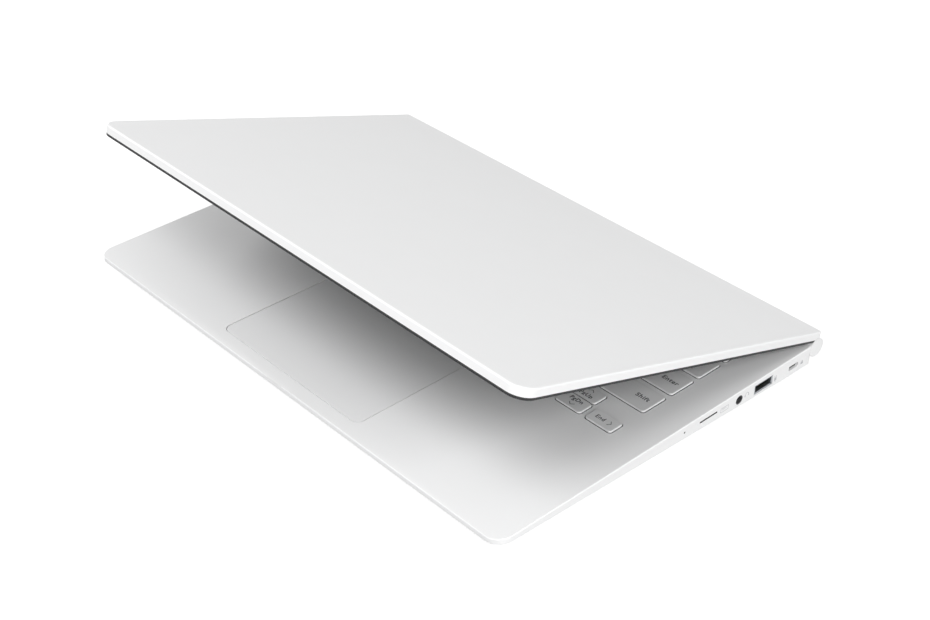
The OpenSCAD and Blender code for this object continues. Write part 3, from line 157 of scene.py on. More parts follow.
class Graph:
    """The nodes of one material or of the world."""

    def __init__(self, tree: bpy.types.NodeTree) -> None:
        """Empties a node tree and takes it over.

        Args:
            tree: the tree of a material or a world.
        """
        tree.nodes.clear()
        self.tree = tree

    def node(
        self,
        kind: str,
        settings: Mapping[str, object] | None = None,
        sockets: Mapping[object, object] | None = None,
        out: object = 0,
    ) -> Sock:
        """Makes a node.

        Args:
            kind: the node's type.
            settings: its own settings; "stops" is a colour ramp's list of (place, grey).
            sockets: a value or a Sock for each input, by name or number.
            out: the output that is wanted.

        Returns:
            The wanted output.
        """
        made = self.tree.nodes.new(kind)
        for key, value in (settings or {}).items():
            if key == "stops":
                ramp = made.color_ramp.elements
                for element, (place, grey) in zip(ramp, value):
                    element.position = place
                    element.color = (grey, grey, grey, 1)
            else:
                setattr(made, key, value)
        for key, value in (sockets or {}).items():
            if isinstance(value, Sock):
                self.tree.links.new(value.socket, made.inputs[key])
            else:
                made.inputs[key].default_value = value
        return Sock(self, made.outputs[out] if made.outputs else None)

    def place(self, scale: Point = (1, 1, 1)) -> Sock:
        """The point on the object, in metres, stretched by a scale."""
        at = self.node("ShaderNodeTexCoord", out="Object")
        return self.node("ShaderNodeMapping", {}, {"Vector": at, "Scale": scale})

    def noise(self, size: float, detail: float = 3, stretch: Point = (1, 1, 1)) -> Sock:
        """Soft noise over the surface.

        Args:
            size: about how far one blot is across, in metres.
            detail: how many finer layers it has.
            stretch: how it is drawn out along x, y and z; small means long.

        Returns:
            The noise, from 0 to 1.
        """
        values = {"Vector": self.place(stretch), "Scale": 1 / size, "Detail": detail}
        return self.node("ShaderNodeTexNoise", {}, values)

    def blend(self, factor: object, first: object, second: object) -> Sock:
        """A colour between two colours.

        Args:
            factor: 0 for the first colour, 1 for the second.
            first: a colour, or a Sock that gives one.
            second: a colour, or a Sock that gives one.

        Returns:
            The colour.
        """
        values = {0: factor}
        for key, value in ((6, first), (7, second)):
            values[key] = value if isinstance(value, Sock) else (*value, 1)
        return self.node("ShaderNodeMix", {"data_type": "RGBA"}, values, out=2)

    def bump(self, height: Sock, depth: float) -> Sock:
        """A normal that follows a height.

        Args:
            height: the height, from 0 to 1.
            depth: how high 1 is, in metres.

        Returns:
            The normal.
        """
        values = {"Height": height, "Distance": depth, "Strength": 1.0}
        return self.node("ShaderNodeBump", {}, values)


# ------------------------------------------------------------------ finishes


@dataclass(frozen=True)
class Finish:
    """A moulded, painted or printed surface with a fine grain.

    Attributes:
        name: the material's name.
        colour: its colour.
        rough: its mean roughness.
        metal: how metallic it is, 0 or 1.
        coat: weight of a clear coat.
        grain: width of one grain, in metres.
        relief: height of the grain, in metres.
        mottle: how much its colour and roughness vary.
        stretch: how the grain is drawn out along x, y and z; small means long.
        shine: strength of its mirror gloss, where 0.5 is usual.
        patch: width of a wide patch of its colour, in metres.
        patchy: share of the mottle that lies in wide patches.
    """

    name: str
    colour: Colour
    rough: float = 0.5
    metal: float = 0.0
    coat: float = 0.0
    grain: float = 0.3 * MM
    relief: float = 0.004 * MM
    mottle: float = 0.03
    stretch: Point = (1, 1, 1)
    shine: float = 0.5
    patch: float = 18 * MM
    patchy: float = 0.6

    def paint(self, g: Graph, grain: Sock) -> Sock:
        """The colour over the surface.

        Args:
            g: the material's nodes.
            grain: the fine grain, from 0 to 1.

        Returns:
            The colour.
        """
        dark = tuple(c * (1 - self.mottle) for c in self.colour)
        light = tuple(min(1.0, c * (1 + self.mottle)) for c in self.colour)
        mixed = self.patchy * g.noise(self.patch) + (1 - self.patchy) * grain
        return g.blend(mixed, dark, light)

    def height(self, g: Graph, grain: Sock) -> Sock:
        """The relief over the surface, from 0 to 1."""
        return grain

    def material(self) -> bpy.types.Material:
        """Makes the material, or finds it where it is already made.

        Returns:
            The material that all pieces of this finish share.
        """
        known = bpy.data.materials.get(self.name)
        if known is not None:
            return known
        made = bpy.data.materials.new(self.name)
        made.use_nodes = True
        g = Graph(made.node_tree)
        grain = g.noise(self.grain, stretch=self.stretch)
        shader = g.node(
            "ShaderNodeBsdfPrincipled",
            {},
            {
                "Base Color": self.paint(g, grain),
                "Roughness": self.rough * (1 - self.mottle) + 2 * self.mottle * self.rough * grain,
                "Metallic": self.metal,
                "Specular IOR Level": self.shine,
                "Coat Weight": self.coat,
                "Normal": g.bump(self.height(g, grain), self.relief),
            },
        )
        g.node("ShaderNodeOutputMaterial", {}, {"Surface": shader})
        return made


@dataclass(frozen=True)
class BoardFinish(Finish):
    """A circuit board: solder resist over copper tracks, with rows of pads.

    Attributes:
        track: the resist's colour over a track.
        tracks: how many tracks lie on a metre.
        gap: width of the gap between tracks, as a share of a track.
        pad: the colour of a pad.
        pads: how many pads lie on a metre.
        scatter: how far the pads stray from even rows, from 0 to 1.
        dot: half the width of a pad, as a share of the distance between two.
        tin: how much of a pad's own colour covers the resist.
    """

    track: Colour = (0.10, 0.32, 0.20)
    tracks: float = 160.0
    gap: float = 0.06
    pad: Colour = (0.75, 0.68, 0.45)
    pads: float = 420.0
    scatter: float = 0.35
    dot: float = 0.22
    tin: float = 0.8

    def paint(self, g: Graph, grain: Sock) -> Sock:
        """Green resist, lighter over the tracks, with small tinned pads.

        Args:
            g: the material's nodes.
            grain: the fine grain, from 0 to 1.

        Returns:
            The colour.
        """
        tracks = g.node(
            "ShaderNodeTexBrick",
            {"offset": 0.3, "squash": 2.0},
            {"Vector": g.place(), "Scale": self.tracks, "Mortar Size": self.gap},
            out="Fac",
        )
        pads = g.node(
            "ShaderNodeTexVoronoi",
            {"distance": "CHEBYCHEV"},
            {"Vector": g.place(), "Scale": self.pads, "Randomness": self.scatter},
        )
        base = g.blend(tracks, self.colour, self.track)
        return g.blend(self.tin * (pads < self.dot), base, self.pad)


@dataclass(frozen=True)
class StripeFinish(Finish):
    """A surface with fine parallel lines, such as drawn, brushed or ribbed metal.

    Attributes:
        pitch: distance between two lines, in metres.
        axis: the axis that the lines cross.
    """

    pitch: float = 0.6 * MM
    axis: Axis = Axis.X

    def height(self, g: Graph, grain: Sock) -> Sock:
        """Fine lines across the axis, over the grain."""
        at = g.node("ShaderNodeSeparateXYZ", {}, {0: g.place()}, out=self.axis)
        return 0.5 * grain + 0.5 * ((at % self.pitch) * (1 / self.pitch))


class Finishes(Enum):
    """Every finish on the laptop."""

    SHELL = Finish(
        "shell_paint", (0.868, 0.87, 0.872), 0.5, 0, 0, 0.35 * MM, 0.003 * MM, 0.012, shine=0.3
    )
    KEY = Finish("key_plastic", (0.80, 0.802, 0.805), 0.48, 0, 0, 0.22 * MM, 0.003 * MM, 0.015)
    PAD = Finish("pad_glass", (0.86, 0.862, 0.865), 0.34, 0, 0.15, 0.2 * MM, 0.0015 * MM, 0.01)
    INK = Finish("legend_ink", (0.075, 0.075, 0.08), 0.6, 0, 0, 0.1 * MM, 0.001 * MM, 0.05)
    MARK = Finish("mark_ink", (0.50, 0.505, 0.52), 0.6, 0, 0, 0.1 * MM, 0.001 * MM, 0.05)
    BEZEL = Finish(
        "bezel_plastic", (0.022, 0.022, 0.024), 0.5, 0, 0, 0.25 * MM, 0.006 * MM, 0.06, shine=0.3
    )
    BLACK = Finish("black_plastic", (0.022, 0.022, 0.024), 0.42, 0, 0, 0.25 * MM, 0.004 * MM, 0.08)
    # Dull black also serves as painted shade: on the key guides, in the card slot's lining and in
    # the plug of the reset hole.
    DULL = Finish(
        "dull_black", (0.012, 0.012, 0.013), 0.7, 0, 0, 0.3 * MM, 0.004 * MM, 0.1, shine=0.1
    )
    SCREEN = Finish(
        "screen_film", (0.01, 0.011, 0.013), 0.3, 0, 0, 0.12 * MM, 0.0006 * MM, 0.05, shine=0.35
    )
    RUBBER = Finish("foot_rubber", (0.05, 0.05, 0.053), 0.78, 0, 0, 0.5 * MM, 0.012 * MM, 0.12)
    # The plate's and the dome sheet's near-black colours are partly their own and partly painted
    # shade for the gaps round the keys.
    PLATE = Finish("black_steel", (0.035, 0.035, 0.037), 0.5, 0, 0, 0.3 * MM, 0.004 * MM, 0.06)
    SHEET = Finish("dome_silicone", (0.06, 0.06, 0.063), 0.6, 0, 0, 0.6 * MM, 0.006 * MM, 0.08)
    LENS = Finish("lens_glass", (0.01, 0.012, 0.02), 0.05, 0, 1.0, 0.5 * MM, 0.0, 0.02)
    # The plating's grey is set darker than bare plated steel, partly as painted shade for the
    # insides of the sockets.
    PLATED = Finish(
        "plated_steel", (0.44, 0.46, 0.48), 0.36, 1, 0, 0.3 * MM, 0.002 * MM, 0.05, (0.08, 1, 1)
    )
    BRUSHED = StripeFinish(
        "brushed_steel", (0.55, 0.56, 0.58), 0.36, 1, 0, 0.3 * MM, 0.004 * MM, 0.07, (0.05, 1, 1)
    )
    GOLD = Finish("gold_contact", (0.83, 0.62, 0.28), 0.25, 1, 0, 0.2 * MM, 0.001 * MM, 0.05)
    COPPER = StripeFinish(
        "drawn_copper", (0.80, 0.42, 0.26), 0.34, 1, 0, 0.4 * MM, 0.004 * MM, 0.1, (0.1, 1, 1)
    )
    FIN = StripeFinish("fin_aluminium", (0.72, 0.73, 0.75), 0.4, 1, 0, 0.4 * MM, 0.004 * MM, 0.06)
    WRAP = StripeFinish(
        "battery_wrap", (0.035, 0.036, 0.04), 0.46, 0, 0.1, 1.5 * MM, 0.02 * MM, 0.1, (1, 0.3, 1)
    )
    BOARD = BoardFinish(
        "circuit_board", (0.03, 0.14, 0.09), 0.45, 0, 0.2, 0.3 * MM, 0.01 * MM, 0.08
    )

    def on(self, thing: Thing) -> None:
        """Gives the whole of an object this finish."""
        thing.data.materials.clear()
        thing.data.materials.append(self.value.material())


# ------------------------------------------------------------------ the maker's bench


class Bench:
    """Blender's modelling tools, used on one mesh at a time.

    Attributes:
        capital: height of a capital for letters of size 1.
        bold: how far a letter's outline moves out, as a share of its height.
        spacing: the step from letter to letter, where 1 is usual.
        weld: distance under which two points are one, in metres.
        flat: angle under which two faces are one, in degrees.
        round_sides: number of sides of a small round rod or ring.
        letter_steps: how finely a letter's curves are divided.
    """

    capital = 0.69
    bold = 0.035
    spacing = 1.12
    weld = 1e-6
    flat = 0.2
    round_sides = 24
    letter_steps = 3

    @staticmethod
    def clear() -> None:
        """Leaves edit mode with nothing selected."""
        if bpy.context.object and bpy.context.object.mode != "OBJECT":
            bpy.ops.object.mode_set(mode="OBJECT")
        bpy.ops.object.select_all(action="DESELECT")

    @classmethod
    def hold(cls, thing: Thing) -> None:
        """Selects one object alone and makes it the active one.

        Args:
            thing: the object.
        """
        cls.clear()
        thing.select_set(True)
        bpy.context.view_layer.objects.active = thing

    @staticmethod
    def named(name: str) -> Thing:
        """Names the object that an operator has just made.

        Args:
            name: the object's and its mesh's name.

        Returns:
            The object.
        """
        made = bpy.context.object
        made.name = name
        made.data.name = name
        return made

    @classmethod
    def placed(cls, name: str) -> Thing:
        """Puts a new primitive's place into its mesh, and names it."""
        bpy.ops.object.transform_apply(location=True, rotation=True, scale=True)
        return cls.named(name)

    @classmethod
    def block(cls, name: str, low: Place, high: Place) -> Thing:
        """A cuboid between two corners.

        Args:
            name: the piece's name.
            low: the lowest corner.
            high: the highest corner.

        Returns:
            The new object, with its place in its mesh.
        """
        cls.clear()
        middle = (Vector(low) + Vector(high)) / 2
        bpy.ops.mesh.primitive_cube_add(size=1, location=middle, scale=Vector(high) - Vector(low))
        return cls.placed(name)

    @classmethod
    def soft(cls, name: str, low: Place, high: Place, edge: float) -> Thing:
        """A cuboid between two corners, with soft edges of a width."""
        return cls.bevelled(cls.block(name, low, high), edge)

    @classmethod
    def rod(cls, name: str, low: Place, radius: float, length: float, axis: Axis) -> Thing:
        """A round rod from a point, along an axis.

        Args:
            name: the piece's name.
            low: the middle of its lower end.
            radius: its radius.
            length: its length.
            axis: the axis that it follows.

        Returns:
            The new object, with its place in its mesh.
        """
        cls.clear()
        middle = Vector(low)
        middle[axis] += length / 2
        turn = ((0, math.pi / 2, 0), (math.pi / 2, 0, 0), (0, 0, 0))[axis]
        bpy.ops.mesh.primitive_cylinder_add(
            vertices=cls.round_sides, radius=radius, depth=length, location=middle, rotation=turn
        )
        return cls.placed(name)

    @staticmethod
    def _pick(thing: Thing, level: int, wanted: Callable[[object], bool]) -> None:
        """Selects parts of a mesh, and goes into edit mode on parts of that kind.

        Args:
            thing: the active object.
            level: 0 for points, 1 for edges, 2 for faces.
            wanted: tells of a part whether it is wanted.
        """
        bpy.ops.object.mode_set(mode="OBJECT")
        kinds = (thing.data.vertices, thing.data.edges, thing.data.polygons)
        for kind in kinds:
            kind.foreach_set("select", np.zeros(len(kind), bool))
        for part in kinds[level]:
            part.select = wanted(part)
        bpy.context.tool_settings.mesh_select_mode = [i == level for i in range(3)]
        bpy.ops.object.mode_set(mode="EDIT")

    @classmethod
    def pick_faces(cls, thing: Thing, test: Callable[[bpy.types.MeshPolygon], bool]) -> None:
        """Selects the faces that pass a test, and goes into edit mode."""
        cls._pick(thing, 2, test)

    @classmethod
    def pick_edges(cls, thing: Thing, test: Callable[[Vector, Vector], bool]) -> None:
        """Selects the edges whose two ends pass a test, and goes into edit mode."""
        points = thing.data.vertices
        cls._pick(thing, 1, lambda edge: test(*(points[v].co for v in edge.vertices)))

    @classmethod
    def pick_points(cls, thing: Thing, test: Callable[[Vector], bool]) -> None:
        """Selects the points that pass a test, and goes into edit mode."""
        cls._pick(thing, 0, lambda point: test(point.co))

    @classmethod
    def modify(cls, thing: Thing, kind: str, **settings: object) -> None:
        """Adds a modifier to a piece and applies it.

        Args:
            thing: the piece.
            kind: the modifier's type.
            settings: the modifier's own settings.
        """
        cls.hold(thing)
        bpy.ops.object.modifier_add(type=kind)
        added = thing.modifiers[-1]
        for key, value in settings.items():
            setattr(added, key, value)
        bpy.ops.object.modifier_apply(modifier=added.name)

    @classmethod
    def done(cls, thing: Thing, angle: float = 35.0) -> Thing:
        """Leaves edit mode and shades a piece smooth.

        Args:
            thing: the piece.
            angle: the angle in degrees over which an edge stays sharp.

        Returns:
            The same piece.
        """
        cls.hold(thing)
        bpy.ops.object.shade_smooth_by_angle(angle=math.radians(angle))
        return thing

    @classmethod
    def evened(cls, thing: Thing, angle: float = 30.0) -> Thing:
        """Shades a piece smooth, with its flat faces kept flat.

        Args:
            thing: the piece.
            angle: the angle in degrees over which an edge stays sharp.

        Returns:
            The same piece.
        """
        cls.done(thing, angle)
        cls.modify(thing, "WEIGHTED_NORMAL", keep_sharp=True)
        return thing

    @classmethod
    def bevelled(cls, thing: Thing, width: float, steps: int = 2, angle: float = 40.0) -> Thing:
        """Rounds a piece's sharp edges with an applied bevel, and shades it.

        Args:
            thing: the piece.
            width: the bevel's width.
            steps: its number of segments.
            angle: the angle in degrees over which an edge is rounded.

        Returns:
            The same piece.
        """
        cls.modify(
            thing,
            "BEVEL",
            width=width,
            segments=steps,
            limit_method="ANGLE",
            angle_limit=math.radians(angle),
            use_clamp_overlap=True,
        )
        return cls.evened(thing, angle)

    @staticmethod
    def copy(thing: Thing, name: str, shift: Place) -> Thing:
        """A copy with its own mesh.

        Args:
            thing: what is copied.
            name: the copy's name.
            shift: how far the copy is moved.

        Returns:
            The copy.
        """
        made = thing.copy()
        made.data = thing.data.copy()
        made.name = made.data.name = name
        bpy.context.scene.collection.objects.link(made)
        made.data.transform(Matrix.Translation(Vector(shift)))
        return made

    @classmethod
    def traced(cls, node: str, name: str) -> Thing:
        """A closed copy of a CAD node.

        Args:
            node: the node's name.
            name: the piece's name.

        Returns:
            The copy, with its loose triangles merged into whole faces.
        """
        made = cls.copy(Frame.node(node), name, (0, 0, 0))
        made.parent = None
        made.matrix_world = Matrix.Identity(4)
        cls.hold(made)
        bpy.ops.object.mode_set(mode="EDIT")
        bpy.ops.mesh.select_all(action="SELECT")
        bpy.ops.mesh.remove_doubles(threshold=cls.weld)
        bpy.ops.mesh.dissolve_limited(angle_limit=math.radians(cls.flat))
        bpy.ops.object.mode_set(mode="OBJECT")
        return made

    @classmethod
    def join(cls, things: Sequence[Thing], name: str) -> Thing:
        """Joins several objects into one.

        Args:
            things: the objects, of which the first stays.
            name: the piece's name.

        Returns:
            The joined object.
        """
        cls.clear()
        for thing in things:
            thing.select_set(True)
        bpy.context.view_layer.objects.active = things[0]
        if len(things) > 1:
            bpy.ops.object.join()
        return cls.named(name)

    @classmethod
    def text(cls, words: str, height: float, at: Place, spread: float = 1.15) -> Thing:
        """Flat lettering as a mesh.

        Args:
            words: what it says.
            height: the height of a capital.
            at: the middle of the lettering.
            spread: how much wider than usual the letters are.

        Returns:
            The lettering, facing up, with its place in its mesh.
        """
        cls.clear()
        bpy.ops.object.text_add(location=(0, 0, 0))
        letters = bpy.context.object.data
        letters.body = words
        letters.size = height / cls.capital
        letters.align_x = letters.align_y = "CENTER"
        letters.resolution_u = cls.letter_steps
        letters.space_character = cls.spacing
        letters.offset = cls.bold * height
        bpy.ops.object.convert(target="MESH")
        made = bpy.context.object
        stretch = Matrix.Diagonal((spread, 1, 1, 1))
        made.data.transform(Matrix.Translation(Vector(at)) @ stretch)
        return made

    @classmethod
    def plate(cls, name: str, low: Place, high: Place) -> Thing:
        """A flat lying rectangle between two corners of one height.

        Args:
            name: the piece's name.
            low: the lowest corner.
            high: the highest corner.

        Returns:
            The rectangle, as one face whose normal points up.
        """
        cls.clear()
        size = Vector(high) - Vector(low)
        bpy.ops.mesh.primitive_plane_add(size=1, location=(Vector(low) + Vector(high)) / 2)
        bpy.context.object.scale = (size.x, size.y, 1)
        return cls.placed(name)

    @classmethod
    def arc(cls, name: str, at: Place, radius: float, width: float) -> Thing:
        """The upper half of a flat ring.

        Args:
            name: the piece's name.
            at: the ring's centre.
            radius: its outer radius.
            width: its width.

        Returns:
            The half ring, facing up.
        """
        cls.clear()
        bpy.ops.mesh.primitive_circle_add(vertices=cls.round_sides, radius=radius, location=at)
        made = cls.placed(name)
        bpy.ops.object.mode_set(mode="EDIT")
        bpy.ops.mesh.select_all(action="SELECT")
        bpy.ops.mesh.extrude_edges_indiv()
        share = (radius - width) / radius
        bpy.ops.transform.resize(value=(share, share, 1), center_override=at)
        bpy.ops.mesh.select_all(action="SELECT")
        bpy.ops.mesh.bisect(plane_co=at, plane_no=(0, 1, 0), clear_inner=True)
        bpy.ops.mesh.select_all(action="SELECT")
        bpy.ops.mesh.normals_make_consistent(inside=False)
        bpy.ops.object.mode_set(mode="OBJECT")
        if made.data.polygons[0].normal.z < 0:
            made.data.flip_normals()
        return made


class Frame:
    """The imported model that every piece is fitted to.

    Attributes:
        same: how many decimals of a metre make two points one.
    """

    loaded: dict[str, object] = {}
    same = 6

    @classmethod
    def node(cls, name: str) -> Thing:
        """A CAD node's object."""
        return cls.loaded["nodes"][name]

    @classmethod
    def body(cls, node: str) -> str:
        """The body that a CAD node belongs to.

        Args:
            node: the node's name.

        Returns:
            The body's name.
        """
        for body, nodes in cls.loaded["record"]["behaviour"]["bodies"].items():
            if node in nodes:
                return body
        raise KeyError(node)

    @classmethod
    def mount(cls, name: str) -> Vector:
        """The place of one of the record's mounts.

        Args:
            name: the mount's name.

        Returns:
            Its place.
        """
        for mount in cls.loaded["record"]["mounts"]:
            if mount["name"] == name:
                return Vector(mount["pos_m"])
        raise KeyError(name)

    @classmethod
    def solids(cls, node: str) -> list[Box]:
        """The boxes of a CAD node's separate solids.

        Args:
            node: the node's name.

        Returns:
            The lowest and highest corner of each solid, from left to right.
        """
        mesh = cls.node(node).data
        points = np.array([v.co for v in mesh.vertices], float).reshape(-1, 3)
        keys, same = np.unique(np.round(points, cls.same), axis=0, return_inverse=True)
        same = same.reshape(-1)
        owner = list(range(len(keys)))

        def root(i: int) -> int:
            """Finds the point that stands for a solid.

            Args:
                i: the number of one of its points.

            Returns:
                The number of the point that stands for it.
            """
            while owner[i] != i:
                owner[i] = owner[owner[i]]
                i = owner[i]
            return i

        for face in mesh.polygons:
            corners = [root(int(same[v])) for v in face.vertices]
            for corner in corners[1:]:
                owner[root(corner)] = root(corners[0])
        groups: dict[int, list[int]] = {}
        for i in range(len(keys)):
            groups.setdefault(root(i), []).append(i)
        boxes = [(Vector(keys[g].min(0)), Vector(keys[g].max(0))) for g in groups.values()]
        return sorted(boxes, key=lambda box: box[0].x)

    @classmethod
    def fit(cls, thing: Thing, finish: Finishes, body: str, slot: str, *nodes: str) -> Thing:
        """Finishes a piece, puts it on its body and hides the CAD nodes it stands for.

        Args:
            thing: the piece.
            finish: its finish.
            body: the body it rides on.
            slot: the record's material slot; not used.
            nodes: the CAD nodes that it replaces.

        Returns:
            The same piece.
        """
        finish.on(thing)
        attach(thing, body)
        if nodes:
            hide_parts(*nodes)
        LOG.info("%s: %d faces on %s", thing.name, len(thing.data.polygons), body)
        return thing

    @classmethod
    def cover(
        cls, node: str, name: str, finish: Finishes, slot: str, edge: float = 0, steps: int = 2
    ) -> None:
        """Puts a finished copy in the place of a CAD node.

        Args:
            node: the node's name.
            name: the piece's name.
            finish: its finish.
            slot: the record's material slot; not used.
            edge: width of its soft edges, or 0 where the CAD edges stay.
            steps: the number of steps in a soft edge.
        """
        made = Bench.traced(node, name)
        made = Bench.bevelled(made, edge, steps) if edge else Bench.evened(made)
        cls.fit(made, finish, cls.body(node), slot, node)


# ------------------------------------------------------------------ sub-assemblies


@dataclass
class Casework:
    """The painted shells, the hinge's covers and the rubber and screws that show on them.

    Attributes:
        shells: the painted nodes.
        foot_edge: width of the soft edge on the feet.
        foot_steps: number of steps in that edge.
        screw_edge: width of the soft edge on the screws.
        scoop: half the length of the finger scoop in the front edge.
        scoop_in: how far the scoop reaches into the deck.
        scoop_deep: its greatest depth.
        scoop_cuts: how many steps shape it.
        scoop_end: distance from the scoop's inner end over which nothing moves.
        scoop_up: how much of its normal points up on a face that is cut for the scoop.
        close: distance under which two points are level.
    """

    shells: Sequence[str] = (
        "top_case",
        "bottom_cover",
        "lid_cover",
        "hinge_barrel",
        "left_hinge_knuckle",
        "right_hinge_knuckle",
        "knuckle_caps",
    )
    foot_edge: float = 0.5 * MM
    foot_steps: int = 3
    screw_edge: float = 0.1 * MM
    scoop: float = 14.0 * MM
    scoop_in: float = 3.6 * MM
    scoop_deep: float = 0.7 * MM
    scoop_cuts: int = 12
    scoop_end: float = 0.1 * MM
    scoop_up: float = 0.2
    close: float = 0.01 * MM

    def _scoop(self, shell: Thing) -> None:
        """Presses a shallow scoop for a finger into the middle of the deck's front edge.

        Args:
            shell: the top case.
        """
        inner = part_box("top_case")[0].y + self.scoop_in
        deck = max(v.co.z for v in shell.data.vertices if v.co.y < inner)
        Bench.pick_faces(shell, lambda f: f.normal.z > self.scoop_up)
        bpy.ops.mesh.bisect(plane_co=(0, inner, 0), plane_no=(0, 1, 0))
        steps = [self.scoop * (2 * i / self.scoop_cuts - 1) for i in range(self.scoop_cuts + 1)]
        for x in steps:
            Bench.pick_faces(
                shell, lambda f: f.normal.z > self.scoop_up and f.center.y < inner
            )
            bpy.ops.mesh.bisect(plane_co=(x, 0, 0), plane_no=(1, 0, 0))
        for x in steps:
            Bench.pick_points(
                shell,
                lambda p: abs(p.x - x) < self.close
                and p.y < inner - self.scoop_end
                and p.z > deck - self.close,
            )
            depth = self.scoop_deep * (1 + math.cos(math.pi * x / self.scoop)) / 2
            bpy.ops.transform.translate(value=(0, 0, -depth))
        bpy.ops.object.mode_set(mode="OBJECT")

    def build(self) -> None:
        """Makes the smooth shells, the feet and the screws."""
        for node in self.shells:
            shell = Bench.traced(node, node + "_shell")
            if node == "top_case":
                self._scoop(shell)
            Frame.fit(Bench.evened(shell), Finishes.SHELL, Frame.body(node), "casing", node)
        feet = ("rubber_feet", "feet", Finishes.RUBBER, "rubber")
        Frame.cover(*feet, self.foot_edge, self.foot_steps)
        Frame.cover("case_screws", "cover_screws", Finishes.BRUSHED, "steel", self.screw_edge)


@dataclass
class Innards:
    """The pieces inside the base and the lid that keep their CAD shapes.

    Attributes:
        nodes: the CAD nodes of each finish.
    """

    nodes: Mapping[Finishes, str] = field(
        default_factory=lambda: {
            # The plate's and dome sheet's dark finishes also paint the shade in the gaps round the
            # keys.
            Finishes.PLATE: "keyboard_plate",
            Finishes.BRUSHED: "touchpad_frame lock_bracket left_hinge_bracket"
            " right_hinge_bracket bracket_screws left_hinge_shaft right_hinge_shaft"
            " left_lid_leaf right_lid_leaf leaf_screws",
            Finishes.SHEET: "dome_sheet",
            Finishes.WRAP: "battery",
            Finishes.BOARD: "mainboard memory_module solid_state_drive wireless_card",
            Finishes.COPPER: "heat_pipe",
            Finishes.FIN: "heat_sink",
            Finishes.BLACK: "fan_housing fan_rotor left_speaker right_speaker headphone_socket"
            " power_inlet display_cable card_reader",
            Finishes.LENS: "camera_module",
        }
    )

    def dress(self) -> None:
        """Gives each inner piece its finish."""
        for finish, names in self.nodes.items():
            for name in names.split():
                finish.on(Frame.node(name))
                LOG.info("%s: CAD shape in %s", name, finish.value.name)


